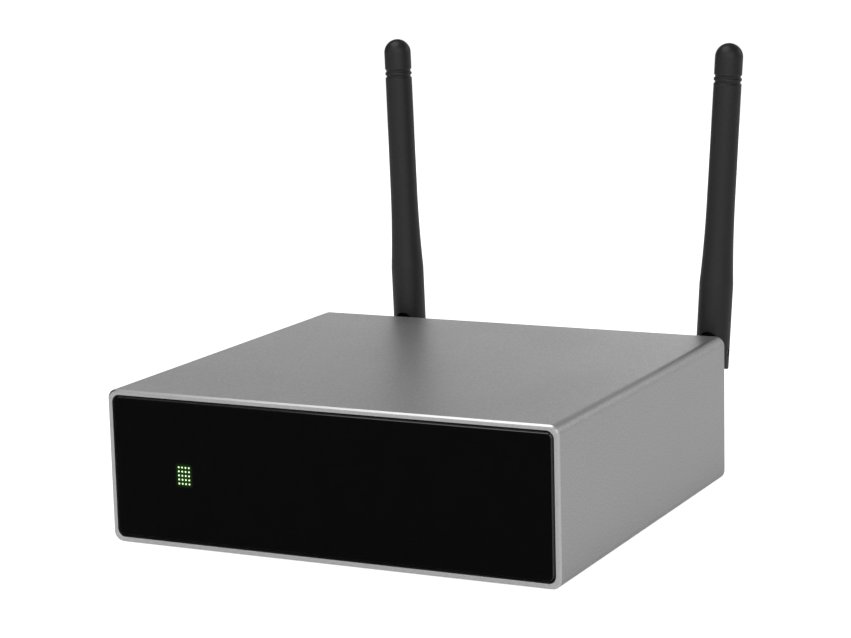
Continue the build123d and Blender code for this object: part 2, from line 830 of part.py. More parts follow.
# Speaker leads run forward from the studs and bend down to the board
with BuildPart() as speaker_leads:
    for post_place in post_places:
        row = 0 if post_place[1] == post_low_level else 1
        lead_z = base_z + post_place[1]
        lead_end_y = tail_y - speaker_lead_reach - row * speaker_lead_step
        lead_bend = min(speaker_lead_bend, lead_z - board_top_z - speaker_lead_end)
        with BuildLine() as lead_path:
            FilletPolyline(
                (post_place[0], tail_y, lead_z),
                (post_place[0], lead_end_y, lead_z),
                (post_place[0], lead_end_y, board_top_z),
                radius=lead_bend,
            )
        with BuildSketch(Plane(origin=lead_path.line @ 0, z_dir=lead_path.line % 0)):
            Circle(speaker_lead_radius)
        sweep(path=lead_path.line)
speaker_leads.part.label = "speaker_leads"
export_step(speaker_leads.part, "parts/speaker_leads.step")

# The phono block stands on the board with four round noses through the rear panel
phono_block_width = phono_spacing_x + 2 * phono_block_margin
phono_block_height = phono_low_height + phono_spacing_z + phono_block_margin
phono_nose_y = panel_y + phono_nose_length
with BuildPart() as phono_block:
    with BuildSketch(section(panel_inner_y, board_top_level, phono_x)):
        Rectangle(phono_block_width, phono_block_height, align=(Align.CENTER, Align.MIN))
    extrude(amount=phono_block_depth, dir=FRONT)
    with BuildSketch(section(panel_inner_y)):
        with Locations(*phono_places):
            Circle(phono_nose_radius)
    extrude(amount=phono_nose_y - panel_inner_y, dir=REAR)
phono_block.part.label = "phono_block"
export_step(phono_block.part, "parts/phono_block.step")

with BuildPart() as phono_shells:
    with BuildSketch(section(phono_nose_y)):
        with Locations(*phono_places):
            Circle(phono_shell_radius)
            Circle(phono_shell_radius - phono_shell_wall, mode=Mode.SUBTRACT)
    extrude(amount=phono_shell_length, dir=REAR)
phono_shells.part.label = "phono_shells"
export_step(phono_shells.part, "parts/phono_shells.step")

phono_insert_end_y = phono_nose_y + phono_shell_length - phono_insert_step
with BuildPart() as phono_inserts:
    with BuildSketch(section(phono_nose_y)):
        with Locations(*phono_places):
            Circle(phono_shell_radius - phono_shell_wall - fixed_clearance)
    extrude(amount=phono_shell_length - phono_insert_step, dir=REAR)
    with BuildSketch(section(phono_insert_end_y)):
        with Locations(*phono_places):
            Circle(phono_pin_radius)
    extrude(amount=phono_pin_depth, dir=FRONT, mode=Mode.SUBTRACT)
phono_inserts.part.label = "phono_inserts"
export_step(phono_inserts.part, "parts/phono_inserts.step")

# The optical socket: a square mouth, a wider chamber behind it and a shutter that swings inwards
optical_y = panel_y + socket_proud
shutter_y = optical_y - optical_lip - shutter_gap - shutter_thickness / 2
shutter_pin_level = optical_level + optical_mouth_height / 2 + shutter_pin_radius
chamber_width = optical_mouth_width + 2 * shutter_gap
chamber_top = shutter_pin_level + shutter_pin_drop
chamber_low = optical_level - optical_mouth_height / 2 - shutter_gap
with BuildPart() as optical_socket:
    with BuildSketch(section(optical_y, optical_level, optical_x)):
        Rectangle(optical_width, optical_height)
    extrude(amount=optical_depth, dir=FRONT)
    with BuildSketch(section(optical_y, optical_level, optical_x)):
        Rectangle(optical_mouth_width, optical_mouth_height)
    extrude(amount=optical_lip, dir=FRONT, mode=Mode.SUBTRACT)
    with BuildSketch(section(optical_y - optical_lip, 0, optical_x)):
        with Locations((0, (chamber_top + chamber_low) / 2)):
            Rectangle(chamber_width, chamber_top - chamber_low)
    extrude(amount=optical_cavity_depth - optical_lip, dir=FRONT, mode=Mode.SUBTRACT)
    with BuildSketch(Plane.YZ.offset(optical_x)):
        with Locations((shutter_y, base_z + shutter_pin_level)):
            Circle(shutter_pin_radius + running_clearance)
    extrude(amount=chamber_width / 2 + shutter_pin_reach, both=True, mode=Mode.SUBTRACT)
optical_socket.part.label = "optical_socket"
export_step(optical_socket.part, "parts/optical_socket.step")

shutter_width = chamber_width - 2 * shutter_gap
shutter_low = chamber_low + shutter_gap
with BuildPart() as optical_shutter:
    with BuildSketch(section(shutter_y + shutter_thickness / 2, 0, optical_x)):
        with Locations((0, (shutter_pin_level + shutter_low) / 2)):
            Rectangle(shutter_width, shutter_pin_level - shutter_low)
    extrude(amount=shutter_thickness, dir=FRONT)
    with BuildSketch(Plane.YZ.offset(optical_x)):
        with Locations((shutter_y, base_z + shutter_pin_level)):
            Circle(shutter_pin_radius)
    extrude(amount=chamber_width / 2 + shutter_pin_reach - running_clearance, both=True)
optical_shutter.part.label = "optical_shutter"
export_step(optical_shutter.part, "parts/optical_shutter.step")

# The network socket: a plug-shaped mouth with a latch notch on its lower side
network_y = panel_y + socket_proud
mouth_low = board_top_level + network_floor + network_latch_height
with BuildPart() as network_socket:
    with BuildSketch(section(network_y, network_level, network_x)):
        Rectangle(network_width, network_height)
    extrude(amount=network_depth, dir=FRONT)
    with BuildSketch(section(network_y, mouth_low, network_x)):
        Rectangle(network_mouth_width, network_mouth_height, align=(Align.CENTER, Align.MIN))
        Rectangle(network_latch_width, network_latch_height, align=(Align.CENTER, Align.MAX))
    extrude(amount=network_cavity_depth, dir=FRONT, mode=Mode.SUBTRACT)
network_socket.part.label = "network_socket"
export_step(network_socket.part, "parts/network_socket.step")

# The serial bus socket: a thin metal shell around a plastic tongue
usb_y = panel_y + socket_proud
with BuildPart() as usb_socket:
    with BuildSketch(section(usb_y, usb_level, usb_x)):
        Rectangle(usb_width, usb_height)
        Rectangle(usb_width - 2 * usb_wall, usb_height - 2 * usb_wall, mode=Mode.SUBTRACT)
    extrude(amount=usb_depth, dir=FRONT)
    with BuildSketch(section(usb_y - usb_depth + usb_back, board_top_level, usb_x)):
        Rectangle(usb_width, usb_lift, align=(Align.CENTER, Align.MIN))
    extrude(amount=usb_back, dir=FRONT)
usb_socket.part.label = "usb_socket"
export_step(usb_socket.part, "parts/usb_socket.step")

tongue_rise = usb_height / 2 - usb_wall - usb_tongue_thickness / 2 - usb_wall
with BuildPart() as usb_tongue:
    with BuildSketch(section(usb_y - usb_depth, usb_level, usb_x)):
        Rectangle(
            usb_width - 2 * usb_wall - 2 * fixed_clearance, usb_height - 2 * usb_wall - 2 * fixed_clearance
        )
    extrude(amount=usb_back, dir=REAR)
    with BuildSketch(section(usb_y - usb_depth + usb_back, usb_level + tongue_rise, usb_x)):
        Rectangle(usb_tongue_width, usb_tongue_thickness)
    extrude(amount=usb_tongue_depth, dir=REAR)
usb_tongue.part.label = "usb_tongue"
export_step(usb_tongue.part, "parts/usb_tongue.step")

# The direct-current inlet: a round nose through the panel with a pin in its bore
inlet_y = panel_y + socket_proud
inlet_floor_y = inlet_y - inlet_bore_depth
with BuildPart() as power_inlet:
    with BuildSketch(section(panel_inner_y, inlet_level, inlet_x)):
        Rectangle(inlet_width, inlet_height)
    extrude(amount=inlet_depth, dir=FRONT)
    with BuildSketch(section(panel_inner_y, inlet_level, inlet_x)):
        Circle(inlet_nose_radius)
    extrude(amount=inlet_y - panel_inner_y, dir=REAR)
    with BuildSketch(section(inlet_y, inlet_level, inlet_x)):
        Circle(inlet_bore_radius)
    extrude(amount=inlet_bore_depth, dir=FRONT, mode=Mode.SUBTRACT)
power_inlet.part.label = "power_inlet"
export_step(power_inlet.part, "parts/power_inlet.step")

with BuildPart() as inlet_pin:
    with BuildSketch(section(inlet_floor_y, inlet_level, inlet_x)):
        Circle(inlet_pin_radius)
    extrude(amount=inlet_bore_depth - inlet_pin_set_back, dir=REAR)
    fillet(inlet_pin.faces().sort_by(Axis.Y)[-1].edges(), inlet_pin_rounding)
inlet_pin.part.label = "inlet_pin"
export_step(inlet_pin.part, "parts/inlet_pin.step")

# The set-up button and the switch that it presses
flange_front_y = panel_inner_y - fixed_clearance - button_flange_thickness
plunger_y = flange_front_y - button_travel - button_gap
switch_y = plunger_y - switch_plunger_length
with BuildPart() as setup_button:
    with BuildSketch(section(flange_front_y, button_level, button_x)):
        Circle(button_flange_radius)
    extrude(amount=button_flange_thickness, dir=REAR)
    with BuildSketch(section(flange_front_y, button_level, button_x)):
        Circle(button_radius)
    extrude(amount=panel_y + button_proud - flange_front_y, dir=REAR)
    fillet(setup_button.faces().sort_by(Axis.Y)[-1].edges(), button_rounding)
setup_button.part.label = "setup_button"
export_step(setup_button.part, "parts/setup_button.step")

with BuildPart() as setup_switch:
    with BuildSketch(section(switch_y, board_top_level, button_x)):
        Rectangle(switch_size, switch_size, align=(Align.CENTER, Align.MIN))
    extrude(amount=switch_depth, dir=FRONT)
    with BuildSketch(section(switch_y, button_level, button_x)):
        Circle(switch_plunger_radius)
    extrude(amount=switch_plunger_length, dir=REAR)
setup_switch.part.label = "setup_switch"
export_step(setup_switch.part, "parts/setup_switch.step")

# Antenna jacks: a hexagonal flange inside, a threaded barrel through the panel and a nut outside
jack_end_y = panel_y + jack_reach
jack_flange_y = panel_inner_y - jack_flange_thickness
with BuildPart() as antenna_jacks:
    with BuildSketch(section(panel_inner_y)):
        with Locations(*antenna_places):
            RegularPolygon(jack_flange_width / 2, 6, major_radius=False)
    extrude(amount=jack_flange_thickness, dir=FRONT)
    with BuildSketch(section(jack_flange_y)):
        with Locations(*antenna_places):
            Circle(jack_tail_radius)
    extrude(amount=jack_tail, dir=FRONT)
    with BuildSketch(section(panel_inner_y)):
        with Locations(*antenna_places):
            Circle(jack_radius)
    extrude(amount=jack_end_y - panel_inner_y, dir=REAR)
    with BuildSketch(section(jack_end_y)):
        with Locations(*antenna_places):
            Circle(jack_bore_radius)
    extrude(amount=jack_bore_depth, dir=FRONT, mode=Mode.SUBTRACT)
antenna_jacks.part.label = "antenna_jacks"
export_step(antenna_jacks.part, "parts/antenna_jacks.step")

washer_y = panel_y + jack_washer_thickness
with BuildPart() as jack_nuts:
    with BuildSketch(section(panel_y)):
        with Locations(*antenna_places):
            Circle(jack_washer_radius)
            Circle(jack_radius + running_clearance, mode=Mode.SUBTRACT)
    extrude(amount=jack_washer_thickness - fixed_clearance, dir=REAR)
    with BuildSketch(section(washer_y)):
        with Locations(*antenna_places):
            RegularPolygon(jack_nut_width / 2, 6, major_radius=False)
            Circle(jack_radius + running_clearance, mode=Mode.SUBTRACT)
    extrude(amount=jack_nut_thickness, dir=REAR)
jack_nuts.part.label = "jack_nuts"
export_step(jack_nuts.part, "parts/jack_nuts.step")

# The core of each antenna connector seats on the jack and ends in a head inside the swivel
core_shank_y = jack_end_y + core_flange_thickness
nut_back_y = core_shank_y + running_clearance
nut_end_y = nut_back_y + nut_lip
swivel_y = nut_end_y + swivel_gap
head_y = swivel_y + swivel_rim + running_clearance
head_end_y = head_y + core_head_thickness
with BuildPart() as antenna_cores:
    with BuildSketch(section(jack_end_y)):
        with Locations(*antenna_places):
            Circle(jack_bore_radius - fixed_clearance)
    extrude(amount=jack_bore_depth, dir=FRONT)
    with BuildSketch(section(jack_end_y)):
        with Locations(*antenna_places):
            Circle(core_flange_radius)
    extrude(amount=core_flange_thickness, dir=REAR)
    with BuildSketch(section(core_shank_y)):
        with Locations(*antenna_places):
            Circle(core_shank_radius)
    extrude(amount=head_y - core_shank_y, dir=REAR)
    with BuildSketch(section(head_y)):
        with Locations(*antenna_places):
            Circle(core_head_radius)
    extrude(amount=core_head_thickness, dir=REAR)
antenna_cores.part.label = "antenna_cores"
export_step(antenna_cores.part, "parts/antenna_cores.step")


def lean_frame(x, lean):
    """Frame at an antenna's hinge pin: X along the pin, Y to the rear and Z up along the blade."""
    angle = radians(lean)
    return Plane(
        origin=(x, pivot_y, base_z + pivot_level),
        x_dir=(cos(angle), 0, -sin(angle)),
        z_dir=(sin(angle), 0, cos(angle)),
    )


def radial_plane(frame):
    """Plane for a turned profile: local X is the radius and local Y runs up the blade."""
    return Plane(origin=frame.origin, x_dir=frame.x_dir, z_dir=-frame.y_dir)


def side_plane(frame):
    """Plane across the hinge pin: local X runs to the rear and local Y up the blade."""
    return Plane(origin=frame.origin, x_dir=frame.y_dir, z_dir=frame.x_dir)


neck_end = pivot_y - ear_radius - turning_gap
pin_length = 2 * (blade_foot_radius - pin_inset)
blade_end = groove_low + groove_pitch
bore_low = radiator_low - radiator_clearance
spigot_bore = spigot_radius + fixed_clearance
slot_width = tongue_width + 2 * tongue_clearance
slot_straight = slot_arch_height - slot_width / 2
for side, antenna_x, lean in (("left", left_antenna_x, left_lean), ("right", right_antenna_x, right_lean)):
    frame = lean_frame(antenna_x, lean)

    # The coupling nut turns freely on the core and covers the thread of the jack
    with BuildPart() as coupling_nut:
        with BuildSketch(section(panel_y + nut_start, pivot_level, antenna_x)):
            Circle(nut_radius)
            with PolarLocations(nut_radius, nut_flutes):
                Circle(nut_flute_radius, mode=Mode.SUBTRACT)
            Circle(jack_radius + running_clearance, mode=Mode.SUBTRACT)
        extrude(amount=nut_back_y - panel_y - nut_start, dir=REAR)
        with BuildSketch(section(nut_back_y, pivot_level, antenna_x)):
            Circle(nut_radius)
            Circle(core_shank_radius + running_clearance, mode=Mode.SUBTRACT)
        extrude(amount=nut_lip, dir=REAR)
    coupling_nut.part.label = side + "_coupling_nut"
    export_step(coupling_nut.part, "parts/" + side + "_coupling_nut.step")

    # The swivel turns on the core and carries the blade on its tongue
    with BuildPart() as swivel:
        with BuildSketch(section(swivel_y, pivot_level, antenna_x)):
            Circle(swivel_radius)
        extrude(amount=neck_end - swivel_y, dir=REAR)
        with BuildSketch(side_plane(frame)):
            with Locations(((neck_end - pivot_y) / 2, 0)):
                Rectangle(pivot_y - neck_end, 2 * tongue_radius)
            Circle(tongue_radius)
        extrude(amount=tongue_width / 2, both=True)
        with BuildSketch(side_plane(frame)):
            Circle(pin_radius + running_clearance)
        extrude(amount=tongue_width / 2, both=True, mode=Mode.SUBTRACT)
        with BuildSketch(section(swivel_y, pivot_level, antenna_x)):
            Circle(core_shank_radius + running_clearance)
        extrude(amount=swivel_rim, dir=REAR, mode=Mode.SUBTRACT)
        with BuildSketch(section(swivel_y + swivel_rim, pivot_level, antenna_x)):
            Circle(core_head_radius + running_clearance)
        extrude(amount=head_end_y + running_clearance - swivel_y - swivel_rim, dir=REAR, mode=Mode.SUBTRACT)
    swivel.part.label = side + "_swivel"
    export_step(swivel.part, "parts/" + side + "_swivel.step")

    with BuildPart() as hinge_pin:
        with BuildSketch(side_plane(frame)):
            Circle(pin_radius)
        extrude(amount=pin_length / 2, both=True)
    hinge_pin.part.label = side + "_hinge_pin"
    export_step(hinge_pin.part, "parts/" + side + "_hinge_pin.step")

    # The blade: a slim turned tube that flares to a fork, with two ears beside the tongue
    with BuildPart() as blade:
        with BuildSketch(radial_plane(frame)):
            with BuildLine():
                foot_line = Line((blade_foot_radius, -ear_radius), (blade_foot_radius, flare_start))
                neck_line = Line((blade_waist_radius, flare_end), (blade_neck_radius, groove_low))
                TangentArc(
                    neck_line @ 0,
                    foot_line @ 1,
                    tangent=neck_line % 0 * -1,
                )
                Polyline(
                    (blade_neck_radius, groove_low),
                    (blade_neck_radius - groove_depth, groove_low),
                    (blade_neck_radius - groove_depth, groove_low + groove_width),
                    (cap_radius, groove_low + groove_width),
                    (cap_radius, blade_end),
                    (0, blade_end),
                    (0, -ear_radius),
                    (blade_foot_radius, -ear_radius),
                )
            make_face()
        revolve(axis=Axis(frame.origin, frame.z_dir))
        with BuildSketch(side_plane(frame)):
            with Locations((0, -ear_radius)):
                Rectangle(4 * ear_radius, 2 * ear_radius)
            Circle(ear_radius, mode=Mode.SUBTRACT)
        extrude(amount=blade_foot_radius, both=True, mode=Mode.SUBTRACT)
        with BuildSketch(side_plane(frame)):
            Circle(back_wall_start)
            Rectangle(2 * back_wall_start, 2 * ear_radius, align=(Align.CENTER, Align.MAX))
            Rectangle(2 * blade_foot_radius, 2 * ear_radius, align=(Align.MAX, Align.MAX))
        extrude(amount=slot_width / 2, both=True, mode=Mode.SUBTRACT)
        with BuildSketch(radial_plane(frame)):
            Rectangle(slot_width, slot_straight, align=(Align.CENTER, Align.MIN))
            with Locations((0, slot_straight)):
                Circle(slot_width / 2)
        extrude(amount=2 * blade_foot_radius, mode=Mode.SUBTRACT)
        with BuildSketch(side_plane(frame)):
            Circle(pin_radius + fixed_clearance)
        extrude(amount=blade_foot_radius, both=True, mode=Mode.SUBTRACT)
        with BuildSketch(frame.offset(bore_low)):
            Circle(radiator_radius + radiator_clearance)
        extrude(amount=blade_end - bore_low, mode=Mode.SUBTRACT)
        with BuildSketch(frame.offset(blade_end - spigot_length)):
            Circle(spigot_bore)
        extrude(amount=spigot_length, mode=Mode.SUBTRACT)
    blade.part.label = side + "_blade"
    export_step(blade.part, "parts/" + side + "_blade.step")

    # The tip cap plugs into the blade and leaves a groove at the joint
    with BuildPart() as tip_cap:
        with BuildSketch(radial_plane(frame)):
            with BuildLine():
                cap_line = Line((cap_radius, blade_end + groove_width), (cap_radius, blade_tip - cap_radius))
                ThreePointArc(
                    cap_line @ 1,
                    (cap_radius * cos(pi / 4), blade_tip - cap_radius + cap_radius * sin(pi / 4)),
                    (0, blade_tip),
                )
                Polyline(
                    (0, blade_tip),
                    (0, blade_end - spigot_length + fixed_clearance),
                    (spigot_radius, blade_end - spigot_length + fixed_clearance),
                    (spigot_radius, blade_end),
                    (cap_radius - groove_depth, blade_end),
                    (cap_radius - groove_depth, blade_end + groove_width),
                    (cap_radius, blade_end + groove_width),
                )
            make_face()
        revolve(axis=Axis(frame.origin, frame.z_dir))
    tip_cap.part.label = side + "_tip_cap"
    export_step(tip_cap.part, "parts/" + side + "_tip_cap.step")

    # The radiator is a thin brass tube inside the blade
    with BuildPart() as radiator:
        with BuildSketch(frame.offset(radiator_low)):
            Circle(radiator_radius)
            Circle(radiator_radius - radiator_wall, mode=Mode.SUBTRACT)
        extrude(amount=radiator_length)
    radiator.part.label = side + "_radiator"
    export_step(radiator.part, "parts/" + side + "_radiator.step")

# Coaxial leads from the jacks to the wireless module
jack_tail_y = jack_flange_y - jack_tail
lead_end_y = front_y + module_y + module_depth / 2 - antenna_lead_bend / 2
lead_ends = (
    (left_antenna_x, module_x - can_width / 4),
    (right_antenna_x, module_x + can_width / 4),
)
with BuildPart() as antenna_leads:
    for lead_x, lead_end_x in lead_ends:
        lead_z = base_z + pivot_level
        with BuildLine() as coax_path:
            FilletPolyline(
                (lead_x, jack_tail_y, lead_z),
                (lead_x, jack_tail_y - antenna_lead_reach, lead_z),
                (lead_end_x, lead_end_y, lead_z),
                (lead_end_x, lead_end_y, base_z + module_top_level),
                radius=antenna_lead_bend,
            )
        with BuildSketch(Plane(origin=coax_path.line @ 0, z_dir=coax_path.line % 0)):
            Circle(antenna_lead_radius)
        sweep(path=coax_path.line)
antenna_leads.part.label = "antenna_leads"
export_step(antenna_leads.part, "parts/antenna_leads.step")
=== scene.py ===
"""Visual model of a compact streaming amplifier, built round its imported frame.

Sizes are in millimetres until a mesh is made. X runs to the right as seen from the front,
Y to the rear and Z up, with the origin on the table under the middle of the whole object.
"""

import json
import logging
import math
from collections.abc import Sequence
from dataclasses import dataclass, field
from enum import Enum

import bmesh
import bpy
import numpy as np
from mathutils import Matrix, Vector


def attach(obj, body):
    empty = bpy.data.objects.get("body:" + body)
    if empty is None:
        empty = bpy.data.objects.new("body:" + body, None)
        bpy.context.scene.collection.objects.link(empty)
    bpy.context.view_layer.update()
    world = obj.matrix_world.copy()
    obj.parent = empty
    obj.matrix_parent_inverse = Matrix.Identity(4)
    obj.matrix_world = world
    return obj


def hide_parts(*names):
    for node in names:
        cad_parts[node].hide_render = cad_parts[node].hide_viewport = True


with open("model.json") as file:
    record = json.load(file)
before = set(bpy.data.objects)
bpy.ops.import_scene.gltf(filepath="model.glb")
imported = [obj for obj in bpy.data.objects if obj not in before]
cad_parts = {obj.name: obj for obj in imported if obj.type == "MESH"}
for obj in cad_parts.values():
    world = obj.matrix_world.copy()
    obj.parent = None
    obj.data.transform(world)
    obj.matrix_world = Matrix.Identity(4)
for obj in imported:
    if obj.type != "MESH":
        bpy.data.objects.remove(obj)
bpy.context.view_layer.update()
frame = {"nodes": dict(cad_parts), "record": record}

logging.basicConfig(level=logging.INFO, format="%(message)s")
log = logging.getLogger("amplifier")

MM = 0.001
FULL_TURN = 2 * math.pi
MERGE_DISTANCE = 0.0025 * MM
STEP_WIDTH = 0.001

Colour = tuple[float, float, float]
Point = tuple[float, float, float]


class Polarity(Enum):
    """The two posts of a speaker channel."""

    POSITIVE = "positive"
    NEGATIVE = "negative"


class Cut(Enum):
    """What a tool solid does to the piece that it meets."""

    TAKE_AWAY = "DIFFERENCE"
    KEEP_COMMON = "INTERSECT"


# Surfaces


@dataclass(frozen=True)
class Placement:
    """Where a piece's own axes lie in the object.

    Attributes:
        origin: Place of the piece's own zero point, in millimetres.
        x_axis: Direction of its X axis, of length one.
        y_axis: Direction of its Y axis, of length one.
        z_axis: Direction of its Z axis, of length one.
    """

    origin: Point
    x_axis: Point = (1.0, 0.0, 0.0)
    y_axis: Point = (0.0, 1.0, 0.0)
    z_axis: Point = (0.0, 0.0, 1.0)

    def world(self, points: np.ndarray) -> np.ndarray:
        """Return points given along the piece's axes as places in the object."""
        return np.asarray(self.origin) + points @ np.array([self.x_axis, self.y_axis, self.z_axis])


def rearward(x: float, y: float, z: float) -> Placement:
    """Return a placement whose Z axis points out of the rear panel and whose Y axis points up."""
    return Placement((x, y, z), (-1.0, 0.0, 0.0), (0.0, 0.0, 1.0), (0.0, 1.0, 0.0))


def forward(x: float, y: float, z: float) -> Placement:
    """Return a placement whose Z axis points out of the front and whose Y axis points up."""
    return Placement((x, y, z), (1.0, 0.0, 0.0), (0.0, 0.0, 1.0), (0.0, -1.0, 0.0))


ALONG_X = Placement((0, 0, 0), (0.0, 0.0, 1.0), (0.0, 1.0, 0.0), (-1.0, 0.0, 0.0))


@dataclass
class Shell:
    """A closed surface.

    Attributes:
        points: Places of its corners in millimetres, one row each.
        quads: Corner numbers of its four-sided faces.
        tris: Corner numbers of its three-sided faces.
    """

    points: np.ndarray
    quads: np.ndarray
    tris: np.ndarray

    def volume(self) -> float:
        """Return the signed volume, a sixth of the sum of the triple products of all triangles."""
        fans = np.vstack([self.quads[:, [0, 1, 2]], self.quads[:, [0, 2, 3]], self.tris])
        first, second, third = (self.points[fans[:, column]] for column in range(3))
        return float(np.einsum("ij,ij->", first, np.cross(second, third)) / 6)

    def outward(self) -> "Shell":
        """Return the shell with its faces outwards, which a positive volume tells."""
        if self.volume() >= 0:
            return self
        return Shell(self.points, self.quads[:, ::-1], self.tris[:, ::-1])

    def placed(self, placement: Placement) -> "Shell":
        """Return the shell carried to a placement."""
        return Shell(placement.world(self.points), self.quads, self.tris)


def joined(shells: Sequence[Shell]) -> Shell:
    """Return several shells as one, with the corner numbers of each moved past those before it."""
    starts = np.cumsum([0] + [len(shell.points) for shell in shells[:-1]])
    return Shell(
        np.vstack([shell.points for shell in shells]),
        np.vstack([shell.quads + start for shell, start in zip(shells, starts)]),
        np.vstack([shell.tris + start for shell, start in zip(shells, starts)]),
    )


def skin(grid: np.ndarray, loop: bool = False) -> Shell:
    """Cover a grid of rings with faces.

    Each face joins two neighbours on a ring to the same two on the next ring. Every ring wraps
    round, and a fan to the mean of its points closes each end.

    Args:
        grid: Places by ring, by point round the ring and by coordinate.
        loop: Whether the last ring joins the first, in place of the two fans.

    Returns:
        The closed shell, its faces outwards.
    """
    rings, around = grid.shape[:2]
    index = np.arange(rings * around).reshape(rings, around)
    low = index if loop else index[:-1]
    high = np.roll(index, -1, axis=0) if loop else index[1:]
    quads = np.stack([low, np.roll(low, -1, axis=1), np.roll(high, -1, axis=1), high], axis=-1)
    points = grid.reshape(-1, 3)
    if loop:
        return Shell(points, quads.reshape(-1, 4), np.empty((0, 3), int)).outward()
    start, end, count = index[0], index[-1], rings * around
    tris = np.vstack([
        np.stack([np.roll(start, -1), start, np.full(around, count)], axis=-1),
        np.stack([end, np.roll(end, -1), np.full(around, count + 1)], axis=-1),
    ])
    centres = grid[[0, -1]].mean(axis=1)
    return Shell(np.vstack([points, centres]), quads.reshape(-1, 4), tris).outward()


def rounded_path(
    corners: Sequence[tuple[float, float]],
    radii: float | Sequence[float],
    steps: int = 4,
    closed: bool = False,
) -> np.ndarray:
    """Round the corners of a path with arcs.

    The circle at a corner touches both sides. Its centre lies on the line that halves the corner,
    at the radius over the sine of half the angle. The arc turns the direction from the centre to
    one touching point evenly into the direction to the other.

    Args:
        corners: Corners of the path in its own plane.
        radii: One radius for all corners that are rounded, or one for each.
        steps: Pieces of each arc.
        closed: Whether the path runs back to its start; if not, its two ends stay as they are.

    Returns:
        The points of the rounded path, one row each.
    """
    path = np.asarray(corners, float)
    if closed:
        path = np.vstack([path[-1:], path, path[:1]])
    middle = path[1:-1]
    reach = np.broadcast_to(np.asarray(radii, float), len(middle))[:, None]
    sides = [path[:-2] - middle, path[2:] - middle]
    back, ahead = (side / np.linalg.norm(side, axis=1, keepdims=True) for side in sides)
    angle = np.arccos(np.clip((back * ahead).sum(axis=1, keepdims=True), -1, 1))
    halving = (back + ahead) / np.linalg.norm(back + ahead, axis=1, keepdims=True)
    centre = middle + halving * reach / np.sin(angle / 2)
    first = (middle + back * reach / np.tan(angle / 2) - centre) / reach
    last = (middle + ahead * reach / np.tan(angle / 2) - centre) / reach
    turn = (math.pi - angle)[:, :, None]
    share = np.linspace(0, 1, steps + 1)[None, :, None]
    spread = np.sin((1 - share) * turn) * first[:, None] + np.sin(share * turn) * last[:, None]
    arcs = (centre[:, None] + reach[:, None] * spread / np.sin(turn)).reshape(-1, 2)
    return arcs if closed else np.vstack([path[:1], arcs, path[-1:]])


@dataclass(frozen=True)
class Flutes:
    """Round grooves along a turned piece, evenly spread about its axis.

    Attributes:
        count: Number of grooves.
        radius: Radius of a groove's own circle.
        centre: Distance of that circle's centre from the axis.
        low: Height where the grooves start.
        high: Height where they end.
    """

    count: int
    radius: float
    centre: float
    low: float
    high: float

    def cut(self, radii: np.ndarray, heights: np.ndarray, angles: np.ndarray) -> np.ndarray:
        """Return the radii with the grooves taken out.

        Off a groove's middle by an angle, its near side lies at the centre distance times the
        cosine, less the root of the groove's radius squared less the centre distance times the
        sine squared. The smaller of that and the piece's own radius stands.

        Args:
            radii: Radii by ring and by point round the ring.
            heights: Height of each ring.
            angles: Angle of each point round a ring.

        Returns:
            The new radii, in the same order.
        """
        pitch = FULL_TURN / self.count
        offset = np.mod(angles, pitch) - pitch / 2
        room = self.radius**2 - (self.centre * np.sin(offset)) ** 2
        near = self.centre * np.cos(offset) - np.sqrt(np.maximum(room, 0))
        groove = np.where(room > 0, near, np.inf)
        inside = (heights >= self.low) & (heights <= self.high)
        return np.where(inside[:, None], np.minimum(radii, groove[None]), radii)


def turned(
    path: np.ndarray,
    steps: int = 64,
    flats: np.ndarray | None = None,
    flutes: Flutes | None = None,
    loop: bool = False,
) -> Shell:
    """Turn a profile about the local Z axis.

    A point lies at the ring's radius times the cosine and sine of its angle. On a ring with flats
    the radius is at most the distance of a flat over the cosine of the angle to its middle, which
    gives a hexagon with its corners cut by the round profile.

    Args:
        path: Radius and height of each ring.
        steps: Points round a ring.
        flats: Distance of the six flats from the axis for each ring, infinite on a round one.
        flutes: Grooves to take out of the surface.
        loop: Whether the profile is closed.

    Returns:
        The closed shell.
    """
    angles = np.arange(steps) * FULL_TURN / steps
    radii = np.repeat(path[:, :1], steps, axis=1)
    if flats is not None:
        sixth = math.pi / 3
        to_flat = np.cos(np.mod(angles, sixth) - sixth / 2)
        radii = np.minimum(radii, flats[:, None] / to_flat[None])
    if flutes is not None:
        radii = flutes.cut(radii, path[:, 1], angles)
    heights = np.broadcast_to(path[:, 1:], radii.shape)
    grid = np.stack([radii * np.cos(angles), radii * np.sin(angles), heights], axis=-1)
    return skin(grid, loop)


def rectangle_rings(
    half_width: np.ndarray, half_height: np.ndarray, radius: np.ndarray, height: np.ndarray, steps: int = 8
) -> np.ndarray:
    """Return a stack of rounded rectangles.

    Each corner is a quarter circle about a centre one radius in from both sides.

    Args:
        half_width: Half the width of each ring.
        half_height: Half the height of each ring.
        radius: Corner radius of each ring.
        height: Place of each ring along the stack.
        steps: Pieces of each corner.

    Returns:
        Places by ring, by point and by coordinate.
    """
    quarter = np.linspace(0, math.pi / 2, steps + 1)
    angles = (np.arange(4)[:, None] * math.pi / 2 + quarter[None]).ravel()
    across = np.repeat([1, -1, -1, 1], steps + 1)
    upward = np.repeat([1, 1, -1, -1], steps + 1)
    corner = np.asarray(radius, float)[:, None]
    x = (np.asarray(half_width, float)[:, None] - corner) * across + corner * np.cos(angles)
    y = (np.asarray(half_height, float)[:, None] - corner) * upward + corner * np.sin(angles)
    return np.stack([x, y, np.broadcast_to(np.asarray(height, float)[:, None], x.shape)], axis=-1)


